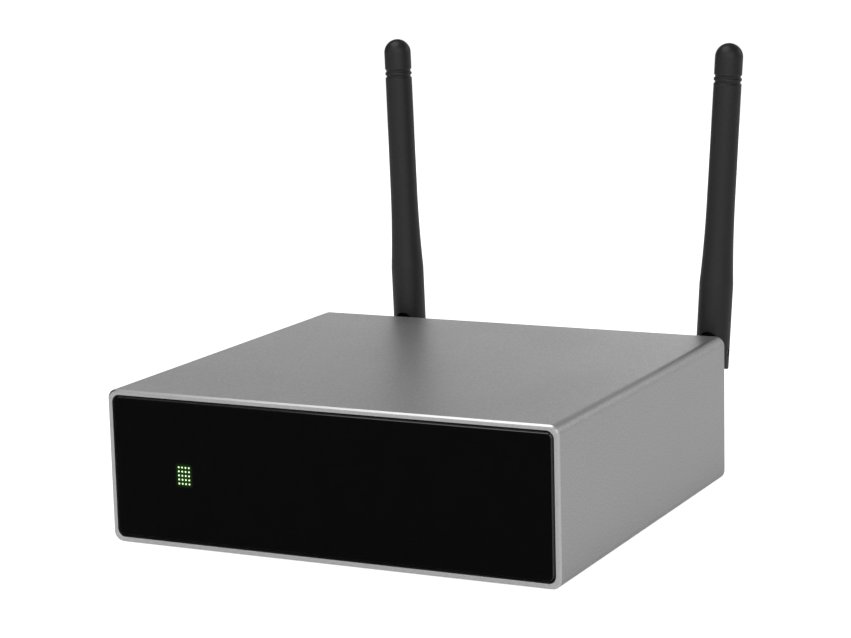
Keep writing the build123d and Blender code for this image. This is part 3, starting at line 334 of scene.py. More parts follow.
def bar(low: Point, high: Point, edge: float = 0.08) -> Shell:
    """Return a straight bar between two opposite corners, its edges softened by a small amount."""
    start, end = np.asarray(low, float), np.asarray(high, float)
    half = (end - start) / 2
    inset = np.array([edge, 0, 0, edge])
    level = np.array([-half[2], edge - half[2], half[2] - edge, half[2]])
    grid = rectangle_rings(half[0] - inset, half[1] - inset, np.full(4, edge * 1.01), level, 2)
    return skin(grid + (start + end) / 2)


def wire(path: np.ndarray, radius: float, steps: int = 10) -> Shell:
    """Carry a circle along a path in the plane of Y and Z.

    Each ring stands square to the path: a point lies at the radius times the cosine along X plus
    the radius times the sine along the normal in the plane.

    Args:
        path: Y and Z of each point of the path.
        radius: Radius of the wire.
        steps: Points round a ring.

    Returns:
        The closed shell, its path at X zero.
    """
    along = np.gradient(path, axis=0)
    along /= np.linalg.norm(along, axis=1, keepdims=True)
    angles = np.arange(steps) * FULL_TURN / steps
    x = np.broadcast_to(radius * np.cos(angles), (len(path), steps))
    y = path[:, :1] - along[:, 1:] * radius * np.sin(angles)
    z = path[:, 1:] + along[:, :1] * radius * np.sin(angles)
    return skin(np.stack([x, y, z], axis=-1))


def extrude_along_x(outline: np.ndarray, low: float, high: float) -> Shell:
    """Carry an outline in the plane of Y and Z straight along X; fans close its ends."""
    across = np.array([low, high])[:, None]
    flat = np.broadcast_to(outline[None], (2, *outline.shape))
    return skin(np.concatenate([np.broadcast_to(across[..., None], (2, len(outline), 1)), flat], axis=-1))


# Nodes


class Tree:
    """A node tree with short ways to add, join and mix its nodes."""

    def __init__(self, tree: bpy.types.NodeTree) -> None:
        """Keep the tree that the nodes go into."""
        self.tree = tree

    def add(self, kind: str, inputs: dict | None = None, **settings: object) -> bpy.types.Node:
        """Add a node.

        Args:
            kind: Blender's name for the node.
            inputs: Value or source socket for each input, by name or number.
            **settings: Values for the node's own properties.

        Returns:
            The new node.
        """
        node = self.tree.nodes.new(kind)
        for name, value in settings.items():
            setattr(node, name, value)
        for key, value in (inputs or {}).items():
            if isinstance(value, bpy.types.NodeSocket):
                self.tree.links.new(value, node.inputs[key])
            else:
                node.inputs[key].default_value = value
        return node

    def compute(self, operation: str, *values: object) -> bpy.types.NodeSocket:
        """Add a math node and return its result."""
        return self.add("ShaderNodeMath", dict(enumerate(values)), operation=operation).outputs[0]

    def fade(
        self, value: object, start: float, end: float, low: float = 0.0, high: float = 1.0
    ) -> bpy.types.NodeSocket:
        """Return a value that eases from low to high while its source goes from start to end."""
        inputs = {"Value": value, "From Min": start, "From Max": end, "To Min": low, "To Max": high}
        return self.add("ShaderNodeMapRange", inputs, interpolation_type="SMOOTHSTEP").outputs[0]

    def blend(self, mask: object, plain: object, marked: object) -> bpy.types.NodeSocket:
        """Return the plain colour where the mask is 0 and the marked one where it is 1."""
        node = self.add("ShaderNodeMix", {0: mask}, data_type="RGBA")
        for number, colour in ((6, plain), (7, marked)):
            if isinstance(colour, bpy.types.NodeSocket):
                self.tree.links.new(colour, node.inputs[number])
            else:
                node.inputs[number].default_value = (*colour, 1.0)
        return node.outputs[2]

    def place(self) -> tuple[bpy.types.NodeSocket, bpy.types.NodeSocket, bpy.types.NodeSocket]:
        """Return the three object coordinates of the shaded point, in metres."""
        source = self.add("ShaderNodeTexCoord").outputs["Object"]
        split = self.add("ShaderNodeSeparateXYZ", {0: source}).outputs
        return split[0], split[1], split[2]

    def shared(self, name: str, values: dict[str, float]) -> bpy.types.Node:
        """Place a shared group with its own values."""
        node = self.add("ShaderNodeGroup", node_tree=bpy.data.node_groups[name])
        for key, value in values.items():
            node.inputs[key].default_value = value
        return node


def group(
    name: str, inputs: dict[str, float], outputs: Sequence[str]
) -> tuple[Tree, bpy.types.Node, bpy.types.Node]:
    """Start a shader node group.

    Args:
        name: Name of the group.
        inputs: Its number inputs with their usual values.
        outputs: Names of its number outputs.

    Returns:
        Its tree, the node that gives its inputs and the node that takes its outputs.
    """
    made = bpy.data.node_groups.new(name, "ShaderNodeTree")
    for key, value in inputs.items():
        made.interface.new_socket(key, in_out="INPUT", socket_type="NodeSocketFloat").default_value = value
    for key in outputs:
        made.interface.new_socket(key, in_out="OUTPUT", socket_type="NodeSocketFloat")
    tree = Tree(made)
    return tree, tree.add("NodeGroupInput"), tree.add("NodeGroupOutput")


def build_shared_groups() -> None:
    """Build the three effects that several finishes share.

    surface_grain gives fine grain, its relief and a slow cloud from noise on object coordinates.
    settled_dust marks faces that look up, by their normal's Z and noise. depth_band marks what
    lies between two depths of the object, with a soft edge.
    """
    tree, given, result = group(
        "surface_grain", {"Scale": 3000.0, "Cloud Scale": 30.0}, ("Grain", "Relief", "Cloud")
    )
    source = tree.add("ShaderNodeTexCoord").outputs["Object"]
    fine = tree.add("ShaderNodeTexNoise", {"Vector": source, "Scale": given.outputs["Scale"], "Detail": 3.0})
    beads = tree.add("ShaderNodeTexVoronoi", {"Vector": source, "Scale": given.outputs["Scale"]})
    cloud = tree.add(
        "ShaderNodeTexNoise", {"Vector": source, "Scale": given.outputs["Cloud Scale"], "Detail": 4.0}
    )
    grain = tree.fade(fine.outputs[0], 0.3, 0.7)
    tree.tree.links.new(grain, result.inputs["Grain"])
    tree.tree.links.new(tree.compute("ADD", grain, beads.outputs["Distance"]), result.inputs["Relief"])
    tree.tree.links.new(tree.fade(cloud.outputs[0], 0.3, 0.7), result.inputs["Cloud"])

    tree, given, result = group("settled_dust", {"Amount": 0.2, "Scale": 400.0}, ("Mask",))
    source = tree.add("ShaderNodeTexCoord").outputs["Object"]
    normal = tree.add("ShaderNodeNewGeometry").outputs["Normal"]
    upward = tree.fade(tree.add("ShaderNodeSeparateXYZ", {0: normal}).outputs[2], 0.5, 1.0)
    specks = tree.add(
        "ShaderNodeTexNoise", {"Vector": source, "Scale": given.outputs["Scale"], "Detail": 6.0}
    )
    settled = tree.compute("MULTIPLY", upward, tree.fade(specks.outputs[0], 0.45, 0.75))
    tree.tree.links.new(tree.compute("MULTIPLY", settled, given.outputs["Amount"]), result.inputs["Mask"])

    tree, given, result = group("depth_band", {"Low": 0.0, "High": 1.0, "Edge": 0.00003}, ("Mask",))
    depth = tree.place()[1]
    sides = (
        tree.compute("SUBTRACT", depth, given.outputs["Low"]),
        tree.compute("SUBTRACT", given.outputs["High"], depth),
    )
    masks = [
        tree.add(
            "ShaderNodeMath", {0: side, 1: given.outputs["Edge"]}, operation="DIVIDE", use_clamp=True
        ).outputs[0]
        for side in sides
    ]
    tree.tree.links.new(tree.compute("MULTIPLY", *masks), result.inputs["Mask"])


# Finishes


@dataclass(frozen=True)
class Finish:
    """A finish with fine grain, slow changes of gloss and some dust.

    Attributes:
        name: Name of the material.
        colour: Main colour.
        shade: Second colour, which the grain mixes in.
        roughness: Least and greatest roughness.
        metallic: One for bare metal.
        scale: Grains along a metre.
        relief: Height of the grain in metres.
        dust: Share of dust on faces that look up.
        coat: Weight of a clear coat.
        specular: Strength of the plain reflection, 0.5 for common plastics.
    """

    name: str
    colour: Colour
    shade: Colour
    roughness: tuple[float, float]
    metallic: float = 0.0
    scale: float = 3000.0
    relief: float = 0.00001
    dust: float = 0.0
    coat: float = 0.0
    specular: float = 0.5

    def tint(self, tree: Tree, grain: bpy.types.Node) -> bpy.types.NodeSocket:
        """Return the colour before dust; a finish with a pattern of its own gives it here."""
        return tree.blend(grain.outputs["Grain"], self.colour, self.shade)

    def gloss(self, tree: Tree, grain: bpy.types.Node) -> bpy.types.NodeSocket:
        """Return the roughness, which follows the slow cloud."""
        return tree.fade(grain.outputs["Cloud"], 0.0, 1.0, *self.roughness)

    def height(self, tree: Tree, grain: bpy.types.Node) -> bpy.types.NodeSocket:
        """Return the height of the grain."""
        return grain.outputs["Relief"]

    def light(self, tree: Tree, shader: bpy.types.Node) -> None:
        """Let the surface shine by itself; a plain finish doesn't."""

    def build(self) -> bpy.types.Material:
        """Return the finish as a node material."""
        material = bpy.data.materials.new(self.name)
        material.use_nodes = True
        tree = Tree(material.node_tree)
        shader = next(node for node in material.node_tree.nodes if node.type == "BSDF_PRINCIPLED")
        grain = tree.shared("surface_grain", {"Scale": self.scale})
        colour = self.tint(tree, grain)
        if self.dust > 0:
            mask = tree.shared("settled_dust", {"Amount": self.dust}).outputs["Mask"]
            colour = tree.blend(mask, colour, (0.32, 0.31, 0.29))
        links = material.node_tree.links
        links.new(colour, shader.inputs["Base Color"])
        links.new(self.gloss(tree, grain), shader.inputs["Roughness"])
        height = self.height(tree, grain)
        bump = tree.add("ShaderNodeBump", {"Height": height, "Distance": self.relief, "Strength": 1.0})
        links.new(bump.outputs[0], shader.inputs["Normal"])
        shader.inputs["Metallic"].default_value = self.metallic
        shader.inputs["Specular IOR Level"].default_value = self.specular
        shader.inputs["Coat Weight"].default_value = self.coat
        shader.inputs["Coat Roughness"].default_value = 0.08
        self.light(tree, shader)
        material.diffuse_color = (*self.colour, 1.0)
        return material


@dataclass(frozen=True)
class CutEdgeFinish(Finish):
    """Blasted metal whose front and rear edges were cut bright afterwards.

    Attributes:
        edge_colour: Colour of the cut metal.
        edge_roughness: Roughness of the cut metal.
        edge_grain: Share of the grain's height that the cut left.
        bands: Start and end depth of each cut edge in millimetres.
    """

    edge_colour: Colour = (0.86, 0.86, 0.865)
    edge_roughness: float = 0.34
    edge_grain: float = 0.15
    bands: tuple[tuple[float, float], ...] = ()

    def edges(self, tree: Tree) -> bpy.types.NodeSocket:
        """Return the mask of the cut edges, the greatest of the bands."""
        masks = [
            tree.shared(
                "depth_band", {"Low": low * MM, "High": high * MM}
            ).outputs["Mask"] for low, high in self.bands
        ]
        return tree.compute("MAXIMUM", *masks)

    def tint(self, tree: Tree, grain: bpy.types.Node) -> bpy.types.NodeSocket:
        """Return the blasted colour with the cut one on the edges."""
        return tree.blend(self.edges(tree), Finish.tint(self, tree, grain), self.edge_colour)

    def gloss(self, tree: Tree, grain: bpy.types.Node) -> bpy.types.NodeSocket:
        """Return the blasted roughness with the smoother cut on the edges."""
        dull = Finish.gloss(self, tree, grain)
        apart = tree.compute("SUBTRACT", self.edge_roughness, dull)
        return tree.compute("MULTIPLY_ADD", self.edges(tree), apart, dull)

    def height(self, tree: Tree, grain: bpy.types.Node) -> bpy.types.NodeSocket:
        """Return the height of the grain, nearly level where the edges were cut."""
        kept = tree.compute("MULTIPLY_ADD", self.edges(tree), self.edge_grain - 1.0, 1.0)
        return tree.compute("MULTIPLY", grain.outputs["Relief"], kept)


@dataclass(frozen=True)
class GlowFinish(Finish):
    """Black gloss that a lit indicator tints from behind.

    Attributes:
        centre: X and Z of the indicator in millimetres.
        half: Half its width and height in millimetres.
        spread: Distance over which the glow fades, in millimetres.
        glow: Colour of the glow.
        bevel: Start and end depth of the polished bevel in millimetres.
        bevel_colour: Colour of the reflection on the bevel.
        bevel_roughness: Roughness of the bevel.
    """

    centre: tuple[float, float] = (0.0, 0.0)
    half: tuple[float, float] = (1.0, 1.0)
    spread: float = 1.5
    glow: Colour = (0.01, 0.03, 0.004)
    bevel: tuple[float, float] = (0.0, 1.0)
    bevel_colour: Colour = (0.085, 0.085, 0.087)
    bevel_roughness: float = 0.14

    def slope(self, tree: Tree) -> bpy.types.NodeSocket:
        """Return the mask of the bevel, which lies behind the flat face."""
        low, high = (depth * MM for depth in self.bevel)
        return tree.shared("depth_band", {"Low": low, "High": high}).outputs["Mask"]

    def tint(self, tree: Tree, grain: bpy.types.Node) -> bpy.types.NodeSocket:
        """Return the black of the face with the brighter bevel round it."""
        return tree.blend(self.slope(tree), Finish.tint(self, tree, grain), self.bevel_colour)

    def gloss(self, tree: Tree, grain: bpy.types.Node) -> bpy.types.NodeSocket:
        """Return the roughness of the face, or that of the bevel."""
        face = Finish.gloss(self, tree, grain)
        return tree.compute(
            "MULTIPLY_ADD", self.slope(tree), tree.compute("SUBTRACT", self.bevel_roughness, face), face
        )

    def light(self, tree: Tree, shader: bpy.types.Node) -> None:
        """Add the glow, which fades with the distance from the indicator's rectangle.

        The bevel reflects like metal, as a polished edge with a dark coat behind it does.
        """
        tree.tree.links.new(self.slope(tree), shader.inputs["Metallic"])
        x, _, z = tree.place()
        beyond = [
            tree.compute(
                "MAXIMUM",
                tree.compute(
                    "SUBTRACT", tree.compute("ABSOLUTE", tree.compute("SUBTRACT", place, middle * MM)),
                    half * MM
                ), 0.0
            )
            for place, middle, half in ((x, self.centre[0], self.half[0]), (z, self.centre[1], self.half[1]))
        ]
        squares = [tree.compute("MULTIPLY", side, side) for side in beyond]
        distance = tree.compute("SQRT", tree.compute("ADD", *squares))
        mask = tree.fade(distance, 0.0, self.spread * MM, 1.0, 0.0)
        tree.tree.links.new(tree.blend(mask, (0.0, 0.0, 0.0), self.glow), shader.inputs["Emission Color"])
        shader.inputs["Emission Strength"].default_value = 1.0


@dataclass(frozen=True)
class LampFinish(Finish):
    """A small lit dot, near white in the middle and green at the rim.

    Attributes:
        rim: Colour of the light at the rim.
        strength: Strength of the light.
    """

    rim: Colour = (0.2, 0.55, 0.1)
    strength: float = 1.0

    def light(self, tree: Tree, shader: bpy.types.Node) -> None:
        """Add the light, mixed by the piece's own radial attribute."""
        radial = tree.add("ShaderNodeAttribute", attribute_name="radial").outputs["Fac"]
        mask = tree.fade(radial, 0.35, 1.0)
        tree.tree.links.new(tree.blend(mask, self.colour, self.rim), shader.inputs["Emission Color"])
        shader.inputs["Emission Strength"].default_value = self.strength


@dataclass(frozen=True)
class SplitFinish(Finish):
    """A finish with one colour below a level or left of a place and another beyond it.

    Attributes:
        beyond: Main colour beyond the border.
        axis: Number of the coordinate that is split.
        border: Place of the border in millimetres.
    """

    beyond: Colour = (0.5, 0.5, 0.5)
    axis: int = 2
    border: float = 0.0

    def tint(self, tree: Tree, grain: bpy.types.Node) -> bpy.types.NodeSocket:
        """Return the colour on the point's side of the border, mixed with its grain."""
        mask = tree.compute("GREATER_THAN", tree.place()[self.axis], self.border * MM)
        return tree.blend(
            tree.compute("MULTIPLY", grain.outputs["Grain"], 0.1), tree.blend(mask, self.colour, self.beyond),
            self.shade
        )


@dataclass(frozen=True)
class BoardFinish(Finish):
    """A circuit board: solder mask over thin copper tracks, which show as lighter lines.

    Attributes:
        track: Colour of the mask where copper lies under it.
        pitch: Distance between tracks in millimetres.
    """

    track: Colour = (0.03, 0.2, 0.08)
    pitch: float = 1.4

    def tint(self, tree: Tree, grain: bpy.types.Node) -> bpy.types.NodeSocket:
        """Return the mask's colour with tracks in patches, some along X and some along Y."""
        x, y, _ = tree.place()
        source = tree.add("ShaderNodeTexCoord").outputs["Object"]
        patch = tree.add("ShaderNodeTexVoronoi", {"Vector": source, "Scale": 110.0}).outputs["Color"]
        choice = tree.compute("GREATER_THAN", tree.add("ShaderNodeSeparateColor", {0: patch}).outputs[0], 0.5)
        lines = [
            tree.compute(
                "LESS_THAN", tree.compute("PINGPONG", place, self.pitch * MM / 2), self.pitch * MM / 8
            )
            for place in (x, y)
        ]
        mask = tree.add("ShaderNodeMix", {0: choice, 2: lines[0], 3: lines[1]}).outputs[0]
        return tree.blend(mask, Finish.tint(self, tree, grain), self.track)


# Pieces


class Workshop:
    """Makes meshes into finished pieces and keeps the finishes by material slot."""

    def __init__(self) -> None:
        """Start without finishes."""
        self.finishes: dict[str, bpy.types.Material] = {}

    def stock(self, finishes: dict[str, Finish]) -> None:
        """Build the finish of each material slot."""
        self.finishes = {slot: finish.build() for slot, finish in finishes.items()}
        log.info("finishes: %d", len(self.finishes))

    def carve(self, shell: Shell, tools: Sequence[tuple[Shell, Cut]]) -> bpy.types.Mesh:
        """Cut a shell with tool solids.

        Args:
            shell: The piece before it is cut.
            tools: Each tool solid and what it does.

        Returns:
            The mesh that is left.
        """
        piece = bpy.data.objects.new("blank", to_mesh("blank", shell))
        cutters = [(bpy.data.objects.new("tool", to_mesh("tool", tool)), cut) for tool, cut in tools]
        everything = [piece, *(cutter for cutter, _ in cutters)]
        for item in everything:
            bpy.context.scene.collection.objects.link(item)
        for cutter, cut in cutters:
            step = piece.modifiers.new("cut", "BOOLEAN")
            step.operation, step.solver, step.object = cut.value, "EXACT", cutter
        depsgraph = bpy.context.evaluated_depsgraph_get()
        depsgraph.update()
        mesh = bpy.data.meshes.new_from_object(piece.evaluated_get(depsgraph))
        for item in everything:
            bpy.data.objects.remove(item)
        mesh.materials.clear()
        return mesh

    def piece(
        self,
        name: str,
        form: Shell | bpy.types.Mesh,
        body: str,
        slot: str,
        replaced: Sequence[str] = (),
        crease: float = 32.0,
    ) -> bpy.types.Object:
        """Make a finished piece.

        Args:
            name: Name of the piece.
            form: Its surface, or a mesh that is already made.
            body: Name of the body that it rides on.
            slot: Material slot that its finish comes from.
            replaced: Nodes of the frame that it stands for.
            crease: Least angle of a sharp edge in degrees.

        Returns:
            The new object.
        """
        mesh = to_mesh(name, form) if isinstance(form, Shell) else form
        mesh.name = name
        mesh.shade_smooth()
        mesh.set_sharp_from_angle(angle=math.radians(crease))
        mesh.materials.append(self.finishes[slot])
        made = bpy.data.objects.new(name, mesh)
        bpy.context.scene.collection.objects.link(made)
        even = made.modifiers.new("even_normals", "WEIGHTED_NORMAL")
        even.keep_sharp = True
        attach(made, body)
        if replaced:
            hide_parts(*replaced)
        log.info("%s: %d faces on %s", name, len(mesh.polygons), body)
        return made

    def dress_frame(self) -> None:
        """Give every node of the frame that is still shown the finish of its slot."""
        for part in frame["record"]["subparts"]:
            node = frame["nodes"][part["node"]]
            for holder in node.material_slots:
                holder.material = self.finishes[part["material_slot"]]


def to_mesh(name: str, shell: Shell) -> bpy.types.Mesh:
    """Return a shell as a mesh in metres, with points in the same place merged."""
    mesh = bpy.data.meshes.new(name)
    faces = shell.quads.tolist() + shell.tris.tolist()
    mesh.from_pydata((shell.points * MM).tolist(), [], faces)
    merged = bmesh.new()
    merged.from_mesh(mesh)
    bmesh.ops.remove_doubles(merged, verts=merged.verts, dist=MERGE_DISTANCE)
    bmesh.ops.dissolve_degenerate(merged, edges=merged.edges, dist=MERGE_DISTANCE / 10)
    merged.to_mesh(mesh)
    merged.free()
    return mesh


@dataclass(frozen=True)
class Sizes:
    """Sizes and places that several sub-assemblies share, in millimetres."""

    half_width: float = 80.0
    height: float = 51.2
    base: float = 2.0
    front: float = -86.725
    rear: float = 61.675
    panel: float = 61.175
    panel_inner: float = 59.175
    wall: float = 1.75
    channel_inset: float = 2.9
    indicator: tuple[float, float] = (-51.97, 26.4)

    @property
    def middle(self) -> float:
        """Height of the middle of the sleeve above the table."""
        return self.base + self.height / 2

    def level(self, above: float) -> float:
        """Return the height above the table of a level above the sleeve's underside."""
        return self.base + above


SIZES = Sizes()


@dataclass
class Sleeve:
    """The extruded sleeve with its rails, its screw channels and its feet."""

    corner: float = 3.3
    inner_corner: float = 2.6
    front_chamfer: float = 0.62
    rear_chamfer: float = 0.3
    soft_edge: float = 0.07
    inside_start: float = -81.425
    rail_reach: float = 2.2
    rail_levels: tuple[tuple[float, float], ...] = ((7.4, 8.6), (10.4, 11.6))
    channel_radius: float = 2.35
    channel_bore: float = 1.35
    channel_slot: float = 1.2
    foot_radius: float = 6.0
    foot_inset: tuple[float, float] = (24.0, 20.0)

    def walls(self) -> Shell:
        """Carry the wall's profile round the rounded rectangle of the sleeve.

        The profile gives each ring its distance in from the outer face and its depth. The ring's
        corner radius falls with that distance to the front rim and on to the inner corner.
        """
        profile = rounded_path(
            [
                (0.0, SIZES.front + self.front_chamfer),
                (self.front_chamfer, SIZES.front),
                (SIZES.wall, SIZES.front),
                (SIZES.wall, SIZES.rear),
                (self.rear_chamfer, SIZES.rear),
                (0.0, SIZES.rear - self.rear_chamfer),
            ],
            self.soft_edge,
            steps=3,
            closed=True,
        )
        inset = profile[:, 0]
        rim_corner = self.corner - self.front_chamfer
        radius = np.interp(
            inset, [0, self.front_chamfer, SIZES.wall], [self.corner, rim_corner, self.inner_corner]
        )
        rings = rectangle_rings(
            SIZES.half_width - inset, SIZES.height / 2 - inset, radius, -profile[:, 1], 14
        )
        return skin(rings, loop=True).placed(forward(0, 0, SIZES.middle))

    def rails(self) -> list[Shell]:
        """Return the two pairs of rails that hold the main board."""
        inner = SIZES.half_width - SIZES.wall
        spans = [(inner - self.rail_reach, inner), (-inner, self.rail_reach - inner)]
        return [
            bar((left, self.inside_start, SIZES.level(low)), (right, SIZES.panel_inner, SIZES.level(high)))
            for left, right in spans
            for low, high in self.rail_levels
        ]

    def channel(self, side: int, up: int) -> list[Shell]:
        """Return one screw channel: an open round wall on two webs into the sleeve's corner.

        The wall is a grid round its cross-section: an outer and an inner arc about the same axis,
        both of which stop half a slot above and below the side that faces inwards.

        Args:
            side: 1 for the right channels and -1 for the left ones.
            up: 1 for the upper channels and -1 for the lower ones.

        Returns:
            The shells of the channel.
        """
        x = side * (SIZES.half_width - SIZES.wall - SIZES.channel_inset)
        z = SIZES.middle + up * (SIZES.height / 2 - SIZES.wall - SIZES.channel_inset)
        share = np.linspace(0, 1, 29)
        facing = math.pi if side > 0 else 0.0
        arcs = []
        for radius in (self.channel_radius, self.channel_bore):
            gap = math.asin(self.channel_slot / 2 / radius)
            angles = facing + gap + share * (FULL_TURN - 2 * gap)
            arcs.append(np.stack([x + radius * np.cos(angles), z + radius * np.sin(angles)], axis=-1))
        outer, inner = arcs
        ends = np.array([self.inside_start, SIZES.panel_inner])
        section = np.stack([outer, outer, inner, inner], axis=1)
        depth = np.broadcast_to(ends[[0, 1, 1, 0]], section.shape[:2])
        wall = skin(np.stack([section[..., 0], depth, section[..., 1]], axis=-1))
        webs = []
        for start, end in (
            ((0.0, self.channel_bore), (SIZES.channel_inset,) * 2),
            ((self.channel_bore, 0.0), (SIZES.channel_inset,) * 2)
        ):
            xs = sorted((x + side * start[0], x + side * end[0]))
            zs = sorted((z + up * start[1], z + up * end[1]))
            webs.append(bar((xs[0], ends[0] + 0.01, zs[0]), (xs[1], ends[1] - 0.01, zs[1])))
        return [wall, *webs]

    def feet(self) -> Shell:
        """Turn four feet, each with a contact ring round a shallow hollow."""
        top, bottom = SIZES.base, 0.0
        profile = rounded_path(
            [
                (0.0, top),
                (self.foot_radius, top),
                (self.foot_radius, bottom + 0.55),
                (self.foot_radius - 0.5, bottom),
                (self.foot_radius - 2.2, bottom),
                (self.foot_radius - 2.7, bottom + 0.4),
                (0.0, bottom + 0.4),
            ],
            [0.05, 0.3, 0.25, 0.15, 0.3],
        )
        foot = turned(profile, 72)
        across = SIZES.half_width - self.foot_inset[0]
        depths = (SIZES.front + self.foot_inset[1], SIZES.rear - self.foot_inset[1])
        return joined([foot.placed(Placement((x, y, 0.0))) for x in (-across, across) for y in depths])

    def build(self, shop: Workshop) -> None:
        """Make the sleeve and its feet."""
        channels = [shell for side in (-1, 1) for up in (-1, 1) for shell in self.channel(side, up)]
        body = joined([self.walls(), *self.rails(), *channels])
        shop.piece("sleeve_extrusion", body, "housing", "sleeve_aluminium", ["sleeve"], 25)
        shop.piece("foot_pads", self.feet(), "housing", "foot_rubber", ["rubber_feet"])


@dataclass
class FrontWindow:
    """The black window with its bevel, and the lit dots of the indicator."""

    gap: float = 0.45
    set_back: float = 0.05
    thickness: float = 2.0
    corner: float = 2.15
    bevel: float = 0.65
    dot_radius: float = 0.325
    dot_height: float = 0.035
    dot_grid: tuple[int, int] = (4, 5)
    dot_pitch: tuple[float, float] = (1.27, 1.35)
    dot_centre: tuple[float, float] = SIZES.indicator

    def plate(self) -> Shell:
        """Carry the plate's profile, with its bevel, round the window's rounded rectangle."""
        face = SIZES.front + self.set_back
        profile = rounded_path(
            [
                (1.0, face + self.thickness), (0.0, face + self.thickness), (0.0, face + self.bevel),
                (self.bevel, face), (3.0, face)
            ],
            [0.05, 0.05, 0.1],
            steps=4,
        )
        inset = profile[:, 0]
        half_width = SIZES.half_width - SIZES.wall - self.gap - inset
        half_height = SIZES.height / 2 - SIZES.wall - self.gap - inset
        radius = np.maximum(self.corner - inset, 0.6)
        rings = rectangle_rings(half_width, half_height, radius, -profile[:, 1], 12)
        return skin(rings).placed(forward(0, 0, SIZES.middle))

    def dots(self) -> Shell:
        """Return the lit dots as low domes on the face.

        A dome's height falls with the square of the distance from its middle.
        """
        radius = np.linspace(0, 1, 7)
        rise = self.dot_height * (1 - 0.6 * radius**2)
        path = np.vstack(
            [np.stack([radius * self.dot_radius, rise], axis=-1), [(self.dot_radius, 0.002), (0.0, 0.002)]]
        )
        dot = turned(path, 24)
        columns, rows = self.dot_grid
        places = [
            (
                self.dot_centre[0] + (column - (columns - 1) / 2) * self.dot_pitch[0],
                self.dot_centre[1] + (row - (rows - 1) / 2) * self.dot_pitch[1],
            )
            for column in range(columns)
            for row in range(rows)
        ]
        face = SIZES.front + self.set_back
        return joined([dot.placed(forward(x, face, z)) for x, z in places])

    def build(self, shop: Workshop) -> None:
        """Make the window and the dots, each dot with its radial attribute."""
        shop.piece("window_plate", self.plate(), "housing", "window_gloss", ["front_window"], 20)
        lit = shop.piece("indicator_dots", self.dots(), "housing", "green_lamp")
        places = np.empty(len(lit.data.vertices) * 3)
        lit.data.vertices.foreach_get("co", places)
        flat = places.reshape(-1, 3)[:, [0, 2]] / MM - np.asarray(self.dot_centre)
        pitch, count = np.asarray(self.dot_pitch), np.asarray(self.dot_grid)
        cell = np.clip(np.round(flat / pitch + (count - 1) / 2), 0, count - 1) - (count - 1) / 2
        distance = np.linalg.norm(flat - cell * pitch, axis=1) / self.dot_radius
        lit.data.attributes.new("radial", "FLOAT", "POINT").data.foreach_set("value", distance)


@dataclass
class CaseScrews:
    """Countersunk screws with a hexagon recess, four in the front frame and four in the rear panel."""

    radius: float = 1.25
    head_radius: float = 2.25
    length: float = 10.0
    recess: float = 0.8
    recess_depth: float = 0.85
    thread_pitch: float = 0.45
    front_face: float = -84.425

    def screw(self) -> Shell:
        """Turn a screw whose recess rings are hexagons and whose shank carries thread rings."""
        count = int((self.length - 1.6) / self.thread_pitch)
        level = -self.length + 0.3 + np.arange(2 * count) * self.thread_pitch / 2
        shank = np.stack([self.radius - 0.14 * (np.arange(2 * count) % 2), level], axis=-1)
        head_depth = self.head_radius - self.radius
        path = np.vstack([
            [(0.0, -self.length), (self.radius - 0.3, -self.length)],
            shank,
            [(self.radius, -head_depth), (self.head_radius, -0.06), (self.head_radius - 0.06, 0.0)],
            [
                (self.recess * 1.25, 0.0), (self.recess * 1.2, -0.05),
                (self.recess * 1.2, -self.recess_depth), (0.0, -self.recess_depth - 0.3)
            ],
        ])
        flats = np.full(len(path), np.inf)
        flats[-4:] = self.recess * 1.05, self.recess, self.recess, self.recess
        return turned(path, 36, flats)

    def build(self, shop: Workshop) -> None:
        """Make the eight screws as one piece."""
        across = SIZES.half_width - SIZES.wall - SIZES.channel_inset
        upward = SIZES.height / 2 - SIZES.wall - SIZES.channel_inset
        screw = self.screw()
        places = [(x, SIZES.middle + z) for x in (-across, across) for z in (-upward, upward)]
        front = [screw.placed(forward(x, self.front_face, z)) for x, z in places]
        rear = [screw.placed(rearward(x, SIZES.panel, z)) for x, z in places]
        shop.piece("countersunk_screws", joined(front + rear), "housing", "black_screw", ["case_screws"])


